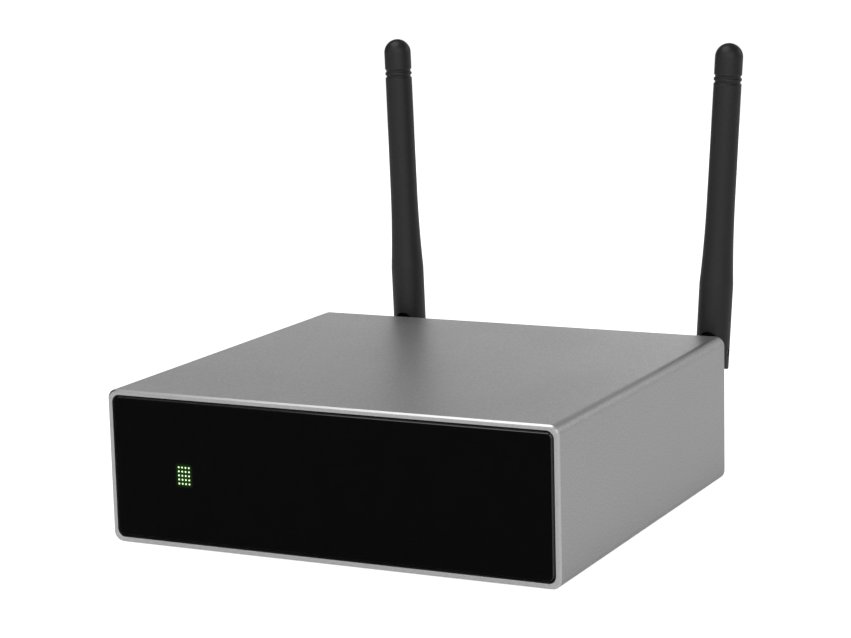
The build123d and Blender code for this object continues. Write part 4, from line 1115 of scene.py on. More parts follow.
@dataclass
class SpeakerPost:
    """One speaker post's fluted knob.

    Attributes:
        channel: Name of the channel, left or right.
        polarity: Which of the channel's two posts this is.
        x: Place across the panel.
        level: Level above the sleeve's underside.
    """

    channel: str
    polarity: Polarity
    x: float
    level: float
    knob_start: float = 64.975
    knob_radius: float = 5.6
    knob_length: float = 13.0
    rounding: float = 0.8
    bore: float = 4.35
    bore_depth: float = 6.85
    inner_bore: float = 3.3
    end_wall: float = 1.0
    mouth: float = 2.6
    flute_count: int = 14
    flute_radius: float = 0.7
    flute_steps: int = 16

    def knob(self) -> Shell:
        """Turn the knob's closed profile and take out the flutes between its plain ends."""
        top = self.knob_length
        corners = [
            (self.bore, 0.0),
            (self.knob_radius - 0.25, 0.0),
            (self.knob_radius, 0.35),
            (self.knob_radius, top),
            (self.mouth, top),
            (self.mouth, top - self.end_wall),
            (self.inner_bore, top - self.end_wall),
            (self.inner_bore, self.bore_depth),
            (self.bore, self.bore_depth),
        ]
        radii = [0.1, 0.2, 0.3, self.rounding, 0.3, 0.05, 0.05, 0.05, 0.05]
        path = rounded_path(corners, radii, 6, closed=True)
        low, high = 0.9, top - 2 * self.rounding
        wall = int(
            np.argmax(
                np.isclose(path[:, 0], self.knob_radius) & (path[:, 1] < 1.5) & (np.roll(path[:, 1], -1) > 5)
            )
        )
        steps = [(self.knob_radius, level) for level in (low - STEP_WIDTH, low, high, high + STEP_WIDTH)]
        path = np.insert(path, wall + 1, steps, axis=0)
        centre = self.knob_radius + self.flute_radius / 2
        flutes = Flutes(
            self.flute_count, self.flute_radius, centre, low - STEP_WIDTH / 2, high + STEP_WIDTH / 2
        )
        return turned(path, flutes.count * self.flute_steps, flutes=flutes, loop=True)

    def build(self, shop: Workshop) -> None:
        """Make the knob."""
        name = f"{self.channel}_{self.polarity.value}"
        slot = "red_knob" if self.polarity is Polarity.POSITIVE else "black_knob"
        shell = self.knob().placed(rearward(self.x, self.knob_start, SIZES.level(self.level)))
        shop.piece(f"{name}_fluted_knob", shell, f"{name}_knob", slot, [f"{name}_knob"])


@dataclass
class PostStuds:
    """The four threaded studs of the speaker posts, each with a collar, a bore and a wire hole."""

    places: tuple[tuple[float, float], ...]
    shank_radius: float = 2.0
    shank_start: float = 51.175
    flange: float = 63.675
    collar_radius: float = 4.6
    collar: float = 1.0
    radius: float = 3.2
    length: float = 11.5
    bore: float = 2.0
    bore_depth: float = 10.8
    pitch: float = 1.0
    thread_depth: float = 0.32
    hole_radius: float = 1.3
    hole_offset: float = 2.4

    def stud(self) -> Shell:
        """Make one stud, with its thread, along its own Z axis.

        On the threaded length a point's radius falls from the crest by the thread's depth times a
        three-cornered wave of the height over the pitch less the angle over a full turn, which
        winds into a helix. The thread runs out over a third of a pitch at both ends.
        """
        steps, start = 48, self.flange + self.collar
        low, high = start - self.shank_start, start - self.shank_start + self.length
        flange = self.flange - self.shank_start
        rows = np.linspace(low + 0.02, high - 0.35, int(self.length / self.pitch * 8))
        before = [
            (0.0, 0.0), (self.shank_radius - 0.2, 0.0), (self.shank_radius, 0.2), (self.shank_radius, flange)
        ]
        before += [(self.collar_radius - 0.1, flange), (self.collar_radius, flange + 0.1)]
        before += [(self.collar_radius, low - 0.15), (self.collar_radius - 0.15, low), (self.radius, low)]
        after = [(self.radius - 0.35, high), (self.bore + 0.25, high), (self.bore, high - 0.25)]
        after += [(self.bore, high - self.bore_depth + 0.4), (0.0, high - self.bore_depth)]
        path = np.vstack([before, np.stack([np.full(len(rows), self.radius), rows], axis=-1), after])
        angles = np.arange(steps) * FULL_TURN / steps
        radii = np.repeat(path[:, :1], steps, axis=1)
        phase = np.mod(path[:, 1:] / self.pitch - angles[None] / FULL_TURN, 1.0)
        ends = np.clip(np.minimum(path[:, 1] - low, high - path[:, 1]) * 3 / self.pitch, 0, 1)[:, None]
        threaded = np.zeros(len(path), bool)
        threaded[len(before):len(before) + len(rows)] = True
        depth = self.thread_depth * np.abs(2 * phase - 1) * ends
        radii = np.where(threaded[:, None], radii - depth, radii)
        heights = np.broadcast_to(path[:, 1:], radii.shape)
        return skin(np.stack([radii * np.cos(angles), radii * np.sin(angles), heights], axis=-1))

    def build(self, shop: Workshop) -> None:
        """Make the four studs, each drilled across for bare wire."""
        stud = self.stud()
        hole_path = np.array([(self.hole_radius, -6.0), (self.hole_radius, 6.0)])
        hole_y = self.flange + self.collar + self.hole_offset
        studs, holes = [], []
        for x, level in self.places:
            z = SIZES.level(level)
            studs.append(stud.placed(rearward(x, self.shank_start, z)))
            holes.append((turned(hole_path, 32).placed(Placement((x, hole_y, z))), Cut.TAKE_AWAY))
        shop.piece(
            "threaded_studs", shop.carve(joined(studs), holes), "housing", "gold_brass", ["post_studs"]
        )


@dataclass
class PhonoSockets:
    """Four phono sockets: a rolled metal shell round a coloured insert with a contact sleeve."""

    places: tuple[tuple[float, float], ...]
    start: float = 62.375
    shell_radius: float = 4.15
    shell_wall: float = 0.5
    shell_length: float = 8.5
    insert_step: float = 0.4
    pin_radius: float = 1.6
    pin_depth: float = 7.5

    def shell(self) -> Shell:
        """Turn the metal shell, with a rounded lip and a shallow rolled groove."""
        outer, inner, end = self.shell_radius, self.shell_radius - self.shell_wall, self.shell_length
        corners = [(inner, 0.0), (outer, 0.0), (outer, 1.0), (outer - 0.2, 1.2), (outer - 0.2, 1.7)]
        corners += [(outer, 1.9), (outer, end), (inner, end)]
        return turned(
            rounded_path(corners, [0.02, 0.1, 0.1, 0.1, 0.1, 0.1, 0.22, 0.22], 4, closed=True), 72, loop=True
        )

    def insert(self) -> Shell:
        """Turn the insert: a dished face with a raised rim round the contact hole."""
        radius, face = self.shell_radius - self.shell_wall - 0.02, self.shell_length - self.insert_step
        floor = face - self.pin_depth
        corners = [
            (0.0, 0.0), (radius, 0.0), (radius, face), (radius - 0.5, face), (radius - 0.6, face - 0.35)
        ]
        corners += [(self.pin_radius + 0.6, face - 0.35), (self.pin_radius + 0.5, face)]
        corners += [(self.pin_radius, face), (self.pin_radius, floor), (0.0, floor)]
        return turned(rounded_path(corners, [0.05, 0.1, 0.05, 0.05, 0.05, 0.05, 0.08, 0.05], 3), 60)

    def contact(self) -> Shell:
        """Turn the contact sleeve inside the insert, belled at its mouth."""
        outer, top = self.pin_radius - 0.01, self.shell_length - self.insert_step - 0.5
        corners = [(outer - 0.25, 1.0), (outer - 0.05, 1.0), (outer - 0.05, top), (outer - 0.2, top)]
        return turned(rounded_path(corners, 0.04, 3, closed=True), 40, loop=True)

    def build(self, shop: Workshop) -> None:
        """Make the shells, the inserts and the contact sleeves."""
        parts = (
            ("phono_collars", self.shell(), "gold_brass", ["phono_shells"]),
            ("phono_cores", self.insert(), "insert_plastic", ["phono_inserts"]),
            ("phono_contacts", self.contact(), "gold_brass", []),
        )
        for name, shell, slot, replaced in parts:
            shells = [shell.placed(rearward(x, self.start, SIZES.level(level))) for x, level in self.places]
            shop.piece(name, joined(shells), "housing", slot, replaced)


@dataclass
class SocketContacts:
    """Contact springs that show inside the network and serial bus sockets."""

    network_x: float = 43.5
    network_top: float = 23.4
    network_face: float = 61.575
    springs: int = 8
    spring_pitch: float = 1.02
    spring_radius: float = 0.2
    bus_x: float = 24.0
    bus_tongue: float = 16.1
    bus_end: float = 59.575
    strips: tuple[float, ...] = (-3.5, -1.0, 1.0, 3.5)

    def network(self) -> Shell:
        """Bend eight wires forward under the roof of the mouth and back down into it."""
        face, top = self.network_face, self.network_top
        corners = [
            (face - 11.9, top - 0.4), (face - 3.4, top - 0.4), (face - 2.9, top - 1.0),
            (face - 9.4, top - 3.4)
        ]
        path = rounded_path(corners, [0.35, 0.35], 6)
        spring = wire(path, self.spring_radius)
        offsets = (np.arange(self.springs) - (self.springs - 1) / 2) * self.spring_pitch
        return joined([spring.placed(Placement((self.network_x + offset, 0.0, 0.0))) for offset in offsets])

    def bus(self) -> Shell:
        """Lay four flat strips along the underside of the tongue."""
        low, high = self.bus_tongue - 0.12, self.bus_tongue + 0.05
        return joined([
            bar(
                (self.bus_x + x - 0.5, self.bus_end - 7.6, low),
                (self.bus_x + x + 0.5, self.bus_end - 0.5, high), 0.04
            )
            for x in self.strips
        ])

    def build(self, shop: Workshop) -> None:
        """Make both sets of contacts."""
        shop.piece("network_springs", self.network(), "housing", "gold_brass")
        shop.piece("bus_strips", self.bus(), "housing", "gold_brass")


@dataclass
class JackNuts:
    """The washers and hexagon nuts that hold the antenna jacks."""

    places: tuple[float, ...]
    level: float = 42.2
    apothem: float = 4.0
    bore: float = 3.2
    washer_radius: float = 4.7
    washer: float = 0.38
    start: float = 0.4
    thickness: float = 2.2

    def nut(self) -> Shell:
        """Turn a nut whose hexagon is cut by a cone of thirty degrees at its outer face."""
        corner, low, high = self.apothem / math.cos(math.pi / 6), self.start, self.start + self.thickness
        slope = (corner - self.apothem) * math.tan(math.pi / 6)
        corners = [(self.bore, low), (corner + 0.02, low), (corner + 0.02, high - slope)]
        corners += [(self.apothem - 0.15, high), (self.bore + 0.3, high), (self.bore, high - 0.3)]
        path = rounded_path(corners, 0.06, 3, closed=True)
        dense = np.vstack([path, path[:1]])
        levels = np.linspace(0, 1, 6)[:-1, None]
        path = (dense[:-1, None] * (1 - levels) + dense[1:, None] * levels).reshape(-1, 2)
        flats = np.where(path[:, 0] > self.bore + 0.4, self.apothem, np.inf)
        return turned(path, 72, flats, loop=True)

    def build(self, shop: Workshop) -> None:
        """Make the two nuts with their washers."""
        ring = [
            (self.bore, 0.0), (self.washer_radius, 0.0), (self.washer_radius, self.washer),
            (self.bore, self.washer)
        ]
        washer = turned(rounded_path(ring, 0.08, 3, closed=True), 64, loop=True)
        shells = [
            shell.placed(rearward(x, SIZES.panel, SIZES.level(self.level)))
            for x in self.places
            for shell in (washer, self.nut())
        ]
        shop.piece("antenna_jack_nuts", joined(shells), "housing", "tin_plate", ["jack_nuts"])


@dataclass
class Antenna:
    """A folding antenna: coupling nut, swivel, hinge pin, blade and tip cap.

    Attributes:
        side: Name of the side, left or right.
        x: Place of its jack across the panel.
        lean: Degrees that the blade leans to the right.
    """

    side: str
    x: float
    lean: float
    pivot: tuple[float, float] = (80.675, 44.2)
    nut_start: float = 64.175
    nut_radius: float = 4.8
    nut_length: float = 6.85
    nut_lip: float = 1.2
    flute_count: int = 18
    flute_radius: float = 0.4
    flute_steps: int = 12
    swivel_start: float = 71.225
    swivel_radius: float = 4.7
    neck_end: float = 74.325
    tongue_radius: float = 4.6
    tongue_width: float = 6.6
    pin_radius: float = 1.3
    pin_length: float = 11.3
    foot_radius: float = 6.05
    ear_radius: float = 6.1
    slot_half: float = 3.45
    slot_arch: float = 7.8
    back_wall: float = 4.9
    flare: tuple[float, float] = (24.5, 54.0)
    waist: float = 5.04
    neck: float = 4.93
    groove_low: float = 96.35
    groove_width: float = 0.9
    groove_depth: float = 0.4
    groove_slope: float = 0.12
    groove_pitch: float = 2.0
    cap_radius: float = 4.95
    tip: float = 110.5
    spigot: float = 3.4
    spigot_length: float = 5.0
    tube_bore: float = 2.55
    tube_low: float = 19.85

    def hinge(self) -> Placement:
        """Return the placement at the hinge pin: X along the pin and Z up the blade."""
        angle = math.radians(self.lean)
        along = (math.cos(angle), 0.0, -math.sin(angle))
        return Placement(
            (self.x, *self.pivot), along, (0.0, 1.0, 0.0), (math.sin(angle), 0.0, math.cos(angle))
        )

    def coupling_nut(self) -> Shell:
        """Turn the coupling nut, fluted between its plain rims."""
        length, radius = self.nut_length, self.nut_radius
        corners = [
            (3.2, 0.0), (radius - 0.35, 0.0), (radius, 0.35), (radius, length - 0.45), (radius - 0.45, length)
        ]
        corners += [(2.25, length), (2.25, length - self.nut_lip), (3.2, length - self.nut_lip)]
        path = rounded_path(corners, 0.08, 3, closed=True)
        low, high = 0.75, length - 1.15
        wall = int(
            np.argmax(
                np.isclose(path[:, 0], radius, atol=1e-3) & (np.roll(path[:, 1], -1) > 4) & (path[:, 1] < 1)
            )
        )
        steps = [(radius, level) for level in (low - STEP_WIDTH, low, high, high + STEP_WIDTH)]
        path = np.insert(path, wall + 1, steps, axis=0)
        flutes = Flutes(
            self.flute_count, self.flute_radius, radius + 0.02, low - STEP_WIDTH / 2, high + STEP_WIDTH / 2
        )
        return turned(path, flutes.count * self.flute_steps, flutes=flutes, loop=True)

    def swivel(self) -> Shell:
        """Join the turned neck to the tongue.

        The tongue's outline seen along the pin is a half circle with two straight sides that run
        into the neck. Its distance from the pin at an angle is the radius, or towards the neck the
        lesser of the half height over the sine and the length over the cosine. The outline comes
        in towards both flat sides along a quarter circle.
        """
        length, radius = self.neck_end - self.swivel_start, self.swivel_radius
        corners = [(2.25, 0.0), (radius, 0.0), (radius, length), (0.0, length)]
        corners += [(0.0, 2.5), (2.25, 2.5)]
        neck_path = rounded_path(corners[:4], [0.35, 0.3], 4)
        neck_path = np.vstack([neck_path, [(0.0, 2.45), (3.05, 2.45), (3.05, 1.2), (2.25, 1.2), (2.25, 0.0)]])
        neck = turned(neck_path, 72, loop=True).placed(rearward(self.x, self.swivel_start, self.pivot[1]))
        angles = np.arange(96) * FULL_TURN / 96
        reach = self.pivot[0] - self.neck_end + 0.4
        cosine, sine = np.cos(angles), np.abs(np.sin(angles))
        sides = np.minimum(self.tongue_radius / np.maximum(sine, 1e-6), reach / np.maximum(-cosine, 1e-6))
        outline = np.where(cosine >= 0, self.tongue_radius, sides)
        quarter = np.linspace(0, math.pi / 2, 7)
        soft, half = 0.7, self.tongue_width / 2
        rise = np.concatenate([soft * (1 - np.sin(quarter)), soft * (1 - np.cos(quarter))])
        across = np.concatenate([-half + soft * (1 - np.cos(quarter)), half - soft * (1 - np.sin(quarter))])
        hole = self.pin_radius + 0.05
        radii = np.vstack([outline[None] - rise[:, None], np.full((2, 96), hole)])
        across = np.append(across, [half, -half])
        grid = np.stack(
            [
                np.broadcast_to(across[:, None], radii.shape), radii * np.cos(angles), radii * np.sin(angles)
            ], axis=-1
        )
        return joined([neck, skin(grid, loop=True).placed(self.hinge())])

    def blank(self) -> Shell:
        """Turn the blade before its fork is cut.

        The flare is the arc that touches the slim tube's line at its lower end and meets the edge
        of the foot. Its centre lies square to that line, where it is as far from both points.
        """
        end = self.groove_low + self.groove_pitch
        top = np.array([self.waist, self.flare[1]])
        foot = np.array([self.foot_radius, self.flare[0]])
        line = np.array([self.neck, self.groove_low]) - top
        normal = np.array([line[1], -line[0]]) / np.linalg.norm(line)
        chord = foot - top
        radius = (chord @ chord) / (2 * chord @ normal)
        centre = top + radius * normal
        ends = [math.atan2(*(place - centre)[::-1]) for place in (foot, top)]
        angles = np.unwrap(ends)
        sweep = np.linspace(angles[0], angles[1], 40)
        flare = centre + abs(radius) * np.stack([np.cos(sweep), np.sin(sweep)], axis=-1)
        low, wall = self.groove_low, self.groove_slope
        lip, floor = low + self.groove_width, self.neck - self.groove_depth
        ridge = rounded_path(
            [
                tuple(top + (np.array([self.neck, low - wall]) - top) * 0.5),
                (self.neck, low - wall),
                (floor, low + wall),
                (floor, lip - wall),
                (self.cap_radius, lip + wall),
                (self.cap_radius, end - wall),
                (self.cap_radius - self.groove_depth, end),
                (self.spigot + 0.02, end),
            ],
            [0.4, 0.2, 0.2, 0.25, 0.25, 0.02],
            6,
        )
        inner = [
            (self.spigot + 0.02, end - self.spigot_length),
            (self.tube_bore, end - self.spigot_length),
            (self.tube_bore, self.tube_low),
            (0.0, self.tube_low),
        ]
        bottom = -self.ear_radius - 0.5
        body = [
            (0.0, bottom), (self.foot_radius, bottom), (self.foot_radius, 0.0),
            (self.foot_radius, self.slot_arch + 2)
        ]
        return turned(np.vstack([body, flare, ridge, inner]), 96)

    def fork_tools(self) -> list[tuple[Shell, Cut]]:
        """Return the solids that shape the fork.

        One keeps what lies within the ears' circle round the pin, or above the pin. The others
        take away the slot: a drum round the pin with a block below it, a block towards the neck
        with an arched top, and the bore of the pin.
        """
        angles = np.linspace(math.pi, FULL_TURN, 49)
        edge = self.ear_radius
        outline = np.vstack([
            np.stack([edge * np.cos(angles), edge * np.sin(angles)], axis=-1),
            [(8.0, 0.0), (8.0, self.tip), (-8.0, self.tip), (-8.0, 0.0)],
        ])
        tombstone = extrude_along_x(outline, -8.0, 8.0)
        turn = np.linspace(0, math.pi, 37)
        wall, half = self.back_wall, self.slot_half
        drum = turned(np.array([(wall, -half), (wall, half)]), 96).placed(ALONG_X)
        under = bar((-half, -9.0, -9.0), (half, wall, 0.0), 0.001)
        straight = self.slot_arch - self.slot_half
        arch = np.vstack([
            np.stack([self.slot_half * np.cos(turn), straight + self.slot_half * np.sin(turn)], axis=-1),
            [(-self.slot_half, -1.0), (self.slot_half, -1.0)],
        ])
        face = extrude_along_x(arch, 0.0, 9.0)
        toward_neck = Placement((0, 0, 0), (0.0, -1.0, 0.0), (1.0, 0.0, 0.0), (0.0, 0.0, 1.0))
        bore = turned(
            np.array([(self.pin_radius + 0.02, -9.0), (self.pin_radius + 0.02, 9.0)]), 40
        ).placed(ALONG_X)
        away = [drum, under, face.placed(toward_neck), bore]
        tools = [(tombstone, Cut.KEEP_COMMON), *((tool, Cut.TAKE_AWAY) for tool in away)]
        return [(tool.placed(self.hinge()).outward(), cut) for tool, cut in tools]

    def cap(self) -> Shell:
        """Turn the tip cap: a spigot, a groove at the joint and a dome."""
        joint = self.groove_low + self.groove_pitch
        floor = self.cap_radius - self.groove_depth
        corners = [
            (0.0, joint - self.spigot_length + 0.02),
            (self.spigot, joint - self.spigot_length + 0.02),
            (self.spigot, joint),
            (floor, joint),
            (floor, joint + self.groove_width - self.groove_slope),
            (self.cap_radius, joint + self.groove_width + self.groove_slope),
            (self.cap_radius, self.tip),
            (0.0, self.tip),
        ]
        path = rounded_path(corners, [0.2, 0.02, 0.02, 0.3, 0.5, self.cap_radius - 0.001], 16)
        return turned(path, 80)

    def pin(self) -> Shell:
        """Turn the hinge pin with domed ends, along the fork's X axis."""
        half = self.pin_length / 2
        corners = [(0.0, -half), (self.pin_radius, -half), (self.pin_radius, half), (0.0, half)]
        return turned(rounded_path(corners, 0.45, 6), 40).placed(ALONG_X)

    def build(self, shop: Workshop) -> None:
        """Make the five pieces of the antenna."""
        side, hinge = self.side, self.hinge()
        nut = self.coupling_nut().placed(rearward(self.x, self.nut_start, self.pivot[1]))
        shop.piece(f"{side}_fluted_nut", nut, f"{side}_nut", "nut_black", [f"{side}_coupling_nut"])
        shop.piece(
            f"{side}_swivel_joint", self.swivel(), f"{side}_swivel", "antenna_plastic", [f"{side}_swivel"]
        )
        blade = shop.carve(self.blank().placed(hinge), self.fork_tools())
        body = f"{side}_blade"
        shop.piece(f"{side}_blade_sheath", blade, body, "antenna_plastic", [f"{side}_blade"])
        shop.piece(f"{side}_dome_cap", self.cap().placed(hinge), body, "antenna_plastic", [f"{side}_tip_cap"])
        shop.piece(f"{side}_pivot_pin", self.pin().placed(hinge), body, "pin_steel", [f"{side}_hinge_pin"])


# Studio


@dataclass(frozen=True)
class Softbox:
    """A soft rectangular light.

    Attributes:
        name: Name of the light.
        place: Where it stands, in metres.
        aim: The point it faces, in metres.
        size: Its width and height in metres.
        power: Its power in watts.
    """

    name: str
    place: Point
    aim: Point
    size: tuple[float, float]
    power: float

    def build(self) -> None:
        """Set the light up."""
        lamp = bpy.data.lights.new(self.name, "AREA")
        lamp.shape, lamp.size, lamp.size_y = "RECTANGLE", *self.size
        lamp.energy = self.power
        stand = bpy.data.objects.new(self.name, lamp)
        stand.location = self.place
        stand.rotation_euler = (Vector(self.aim) - Vector(self.place)).to_track_quat("-Z", "Y").to_euler()
        bpy.context.scene.collection.objects.link(stand)


@dataclass(frozen=True)
class CameraRig:
    """The camera, set by the point it looks at, its distance and three angles.

    Attributes:
        lens: Focal length in millimetres.
        target: Point in the middle of the view, in millimetres.
        distance: Distance from it in millimetres.
        azimuth: Degrees to the right of straight in front.
        elevation: Degrees above the level.
        roll: Degrees that the camera is turned about its view.
    """

    lens: float = 106.66
    target: Point = (4.93, -22.725, 70.06)
    distance: float = 839.09
    azimuth: float = 26.226
    elevation: float = 10.386
    roll: float = -1.429

    def build(self) -> None:
        """Set the camera up and make it the scene's camera."""
        turn, rise, tilt = (math.radians(angle) for angle in (self.azimuth, self.elevation, self.roll))
        back = Vector((math.sin(turn) * math.cos(rise), -math.cos(turn) * math.cos(rise), math.sin(rise)))
        level = Vector((math.cos(turn), math.sin(turn), 0.0))
        upright = back.cross(level)
        right = level * math.cos(tilt) + upright * math.sin(tilt)
        up = upright * math.cos(tilt) - level * math.sin(tilt)
        data = bpy.data.cameras.new("photo_camera")
        data.lens, data.sensor_width, data.clip_start, data.clip_end = self.lens, 36.0, 0.01, 50.0
        camera = bpy.data.objects.new("photo_camera", data)
        turned_to = Matrix((right, up, back)).transposed().to_4x4()
        place = (Vector(self.target) + back * self.distance) * MM
        camera.matrix_world = Matrix.Translation(place) @ turned_to
        bpy.context.scene.collection.objects.link(camera)
        bpy.context.scene.camera = camera


@dataclass
class Studio:
    """The pale floor, the surroundings and the lights.

    Attributes:
        floor_reach: Width and depth of the floor in metres.
        floor_glow: Light that the floor gives to the object and to the camera.
        levels: Light from the left and right, from the front and back, and from below and above.
        softboxes: The soft lights.
    """

    floor_reach: float = 12.0
    floor_glow: tuple[float, float] = (0.11, 0.93)
    levels: tuple[tuple[float, float], ...] = ((0.02, 0.02), (0.78, 0.1), (0.0, 0.02))
    softboxes: tuple[Softbox, ...] = field(
        default_factory=lambda: (
            Softbox("top_box", (-0.25, -0.15, 1.1), (0.0, 0.0, 0.03), (1.0, 0.7), 3.7),
            Softbox("front_box", (0.75, -1.0, 0.6), (0.0, 0.0, 0.03), (1.6, 1.1), 3.2),
            Softbox("rear_left_box", (-0.5, 1.1, 0.25), (0.0, 0.0, 0.03), (0.9, 0.35), 1.05),
            Softbox("rear_right_box", (0.6, 1.1, 0.12), (0.0, 0.0, 0.03), (0.7, 0.3), 0.2),
            Softbox("rear_top_box", (0.2, 1.05, 0.54), (0.0, 0.0, 0.03), (1.2, 0.4), 0.7),
            Softbox("right_rear_box", (0.9, 0.8, 0.5), (0.0, 0.0, 0.03), (0.7, 0.5), 1.0),
        )
    )

    def floor(self) -> None:
        """Lay the floor just under the feet, bright enough to print white."""
        reach = self.floor_reach / MM / 2
        corners = np.array(
            [(-reach, -reach, 0), (reach, -reach, 0), (reach, reach, 0), (-reach, reach, 0)], float
        )
        mesh = bpy.data.meshes.new("floor")
        mesh.from_pydata((corners * MM - (0, 0, 0.00002)).tolist(), [], [(0, 1, 2, 3)])
        sheet = bpy.data.objects.new("floor", mesh)
        bpy.context.scene.collection.objects.link(sheet)
        material = bpy.data.materials.new("floor_paper")
        material.use_nodes = True
        tree = Tree(material.node_tree)
        shader = next(node for node in material.node_tree.nodes if node.type == "BSDF_PRINCIPLED")
        source = tree.add("ShaderNodeTexCoord").outputs["Object"]
        fibre = tree.add("ShaderNodeTexNoise", {"Vector": source, "Scale": 900.0}).outputs[0]
        material.node_tree.links.new(
            tree.blend(fibre, (0.86, 0.86, 0.86), (0.9, 0.9, 0.9)), shader.inputs["Base Color"]
        )
        shader.inputs["Roughness"].default_value = 0.9
        shader.inputs["Emission Color"].default_value = (1.0, 1.0, 1.0, 1.0)
        seen = tree.add("ShaderNodeLightPath").outputs["Is Camera Ray"]
        cast, shown = self.floor_glow
        glow = tree.compute("MULTIPLY_ADD", seen, shown - cast, cast)
        material.node_tree.links.new(glow, shader.inputs["Emission Strength"])
        mesh.materials.append(material)

    def surroundings(self) -> None:
        """Make the surroundings white to the camera and graded to everything else.

        The light from a direction is the sum over the three axes of the squared part of the
        direction along the axis times the level of the side it points to. The three squares make
        one, so that each level is met in full straight along its own axis.
        """
        world = bpy.data.worlds.new("studio")
        world.use_nodes = True
        bpy.context.scene.world = world
        tree = Tree(world.node_tree)
        output = next(node for node in world.node_tree.nodes if node.type == "OUTPUT_WORLD")
        direction = tree.add("ShaderNodeTexCoord").outputs["Generated"]
        parts = tree.add("ShaderNodeSeparateXYZ", {0: direction}).outputs
        graded: object = 0.0
        for part, levels in zip(parts, self.levels):
            for sign, level in zip((-1.0, 1.0), levels):
                toward = tree.compute("MAXIMUM", tree.compute("MULTIPLY", part, sign), 0.0)
                graded = tree.compute("MULTIPLY_ADD", tree.compute("MULTIPLY", toward, toward), level, graded)
        shown = tree.add("ShaderNodeBackground", {"Color": (1.0, 1.0, 1.0, 1.0), "Strength": 1.2})
        cast = tree.add("ShaderNodeBackground", {"Color": (1.0, 1.0, 1.0, 1.0), "Strength": graded})
        seen = tree.add("ShaderNodeLightPath").outputs["Is Camera Ray"]
        mixed = tree.add("ShaderNodeMixShader", {0: seen, 1: cast.outputs[0], 2: shown.outputs[0]})
        world.node_tree.links.new(mixed.outputs[0], output.inputs["Surface"])

    def build(self) -> None:
        """Set up the floor, the surroundings and the lights, and print colours as they are."""
        self.floor()
        self.surroundings()
        for softbox in self.softboxes:
            softbox.build()
        bpy.context.scene.view_settings.view_transform = "Standard"
        log.info("studio: %d softboxes", len(self.softboxes))


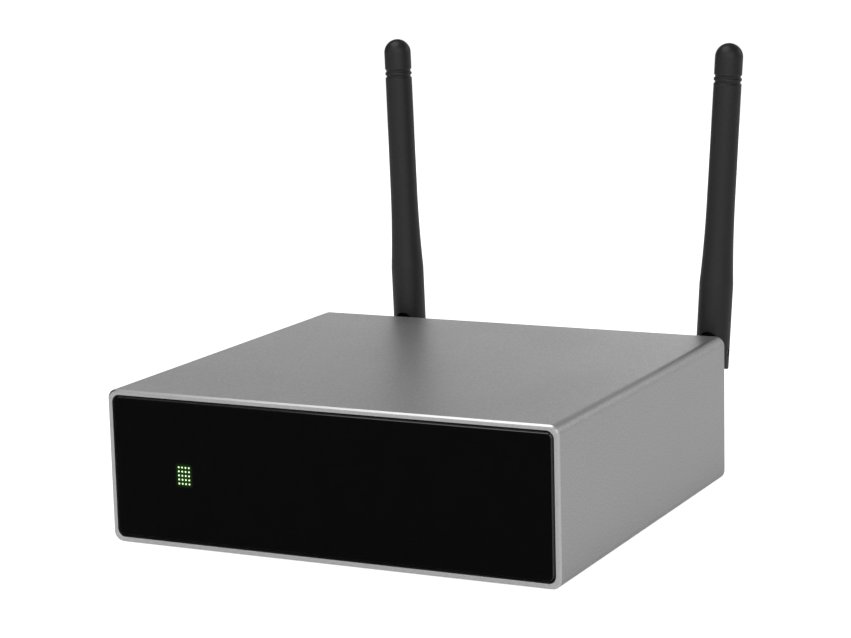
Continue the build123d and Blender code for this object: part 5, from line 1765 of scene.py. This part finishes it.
def stock_finishes() -> dict[str, Finish]:
    """Return the finish of every material slot."""
    black, soot = (0.018, 0.018, 0.019), (0.03, 0.03, 0.031)
    brass, copper = (0.83, 0.62, 0.28), (0.72, 0.5, 0.2)
    edges = ((SIZES.front - 0.015, SIZES.front + 0.61), (SIZES.rear - 0.29, SIZES.rear + 0.015))
    return {
        "sleeve_aluminium": CutEdgeFinish(
            "blasted_aluminium", (0.73, 0.73, 0.735), (0.6, 0.6, 0.605), (0.44, 0.46), 1.0, 1700, 0.000012, 0.02, bands=edges
        ),
        "window_gloss": GlowFinish(
            "black_window", (0.002, 0.002, 0.0022), (0.0025, 0.0025, 0.0027), (0.02, 0.04), 0.0, 200, 0.0, 0.0, specular=0.05,
            centre=SIZES.indicator, half=(1.9, 2.7), spread=1.6, bevel=(
                SIZES.front + 0.08, SIZES.front + 0.75
            ),
        ),
        "foam_tape": Finish(
            "foam_tape", (0.02, 0.02, 0.02), (0.05, 0.05, 0.05), (0.85, 0.95), 0.0, 4000, 0.0001
        ),
        "black_plastic": Finish("moulded_black", black, soot, (0.4, 0.52), 0.0, 7000, 0.00001, 0.03),
        "black_screw": Finish(
            "black_oxide", (0.05, 0.05, 0.052), (0.08, 0.08, 0.08), (0.3, 0.42), 1.0, 9000, 0.000004, 0.02
        ),
        "circuit_board": BoardFinish(
            "solder_mask", (0.01, 0.09, 0.035), (0.012, 0.11, 0.045), (0.25, 0.4), 0.0, 2500, 0.000005
        ),
        "green_lamp": LampFinish("lit_dot", (0.78, 0.95, 0.66), (0.6, 0.9, 0.5), (0.3, 0.4), 0.0, 3000, 0.0),
        "white_plastic": Finish(
            "ivory_plastic", (0.74, 0.73, 0.68), (0.68, 0.67, 0.62), (0.35, 0.5), 0.0, 5000, 0.000006
        ),
        "chip_black": Finish(
            "chip_resin", (0.02, 0.02, 0.021), (0.045, 0.045, 0.046), (0.5, 0.65), 0.0, 9000, 0.00001
        ),
        "black_aluminium": Finish(
            "black_anodised", (0.03, 0.03, 0.032), (0.06, 0.06, 0.062), (0.35, 0.5), 1.0, 4000, 0.000008, 0.05
        ),
        "capacitor_sleeve": Finish(
            "shrink_sleeve", (0.012, 0.02, 0.06), (0.02, 0.03, 0.08), (0.2, 0.35), 0.0, 1500, 0.00001
        ),
        "tin_plate": Finish(
            "tin_plate", (0.66, 0.65, 0.62), (0.5, 0.5, 0.48), (0.22, 0.36), 1.0, 2600, 0.000005
        ),
        "panel_paint": Finish(
            "powder_coat", (0.02, 0.02, 0.021), (0.045, 0.045, 0.047), (0.42, 0.55), 0.0, 3200, 0.00004, 0.05
        ),
        "gold_brass": Finish("gold_plate", brass, copper, (0.14, 0.26), 1.0, 2200, 0.000004),
        "red_lead": SplitFinish(
            "lead_insulation", (0.4, 0.02, 0.02), (0.2, 0.05, 0.05), (0.45, 0.6), 0.0, 2500, 0.00001,
            beyond=(0.02, 0.02, 0.02), axis=0, border=-56.5,
        ),
        "insert_plastic": SplitFinish(
            "socket_cores", (0.42, 0.018, 0.018), (0.3, 0.28, 0.27), (0.3, 0.42), 0.0, 5000, 0.000005,
            beyond=(0.78, 0.77, 0.75), axis=2, border=25.0,
        ),
        "lead_black": Finish(
            "coax_jacket", (0.02, 0.02, 0.02), (0.04, 0.04, 0.04), (0.45, 0.6), 0.0, 3000, 0.00001
        ),
        "nut_black": Finish(
            "black_nickel", (0.07, 0.07, 0.075), (0.11, 0.11, 0.115), (0.25, 0.38), 1.0, 5000, 0.000005
        ),
        "antenna_plastic": Finish(
            "antenna_sheath", (0.022, 0.022, 0.0225), (0.034, 0.034, 0.0345), (0.32, 0.4), 0.0, 3500,
            0.000012, specular=0.42
        ),
        "pin_steel": Finish(
            "pin_steel", (0.16, 0.16, 0.165), (0.22, 0.22, 0.22), (0.3, 0.45), 1.0, 4000, 0.000005
        ),
        "red_knob": Finish(
            "red_knob", (0.36, 0.012, 0.014), (0.42, 0.02, 0.02), (0.22, 0.34), 0.0, 2500, 0.000006, 0.02, 0.3
        ),
        "black_knob": Finish(
            "black_knob", (0.014, 0.014, 0.015), (0.026, 0.026, 0.027), (0.22, 0.34), 0.0, 2500, 0.000006,
            0.02, 0.3
        ),
        "foot_rubber": Finish(
            "foot_rubber", (0.022, 0.022, 0.022), (0.04, 0.04, 0.04), (0.7, 0.85), 0.0, 3500, 0.00003
        ),
    }


def main() -> None:
    """Build the finishes, the sub-assemblies, the studio and the camera in order."""
    build_shared_groups()
    shop = Workshop()
    shop.stock(stock_finishes())
    shop.dress_frame()
    posts = {"left": 27.5, "right": 13.0}
    columns = {Polarity.POSITIVE: -66.0, Polarity.NEGATIVE: -47.0}
    places = tuple((x, level) for x in columns.values() for level in posts.values())
    antennas = {"left": (-52.5, -1.3), "right": (68.8, 3.55)}
    phono_places = tuple((x, level) for x in (-25.925, -11.925) for level in (16.0, 30.0))
    assemblies = [
        Sleeve(),
        FrontWindow(),
        CaseScrews(),
        *(
            SpeakerPost(channel, polarity, x, level) for channel, level in posts.items() for polarity,
            x in columns.items()
        ),
        PostStuds(places),
        PhonoSockets(phono_places),
        SocketContacts(),
        JackNuts(tuple(x for x, _ in antennas.values())),
        *(Antenna(side, x, lean) for side, (x, lean) in antennas.items()),
    ]
    for assembly in assemblies:
        assembly.build(shop)
    Studio().build()
    CameraRig().build()


if __name__ == "__main__":
    main()
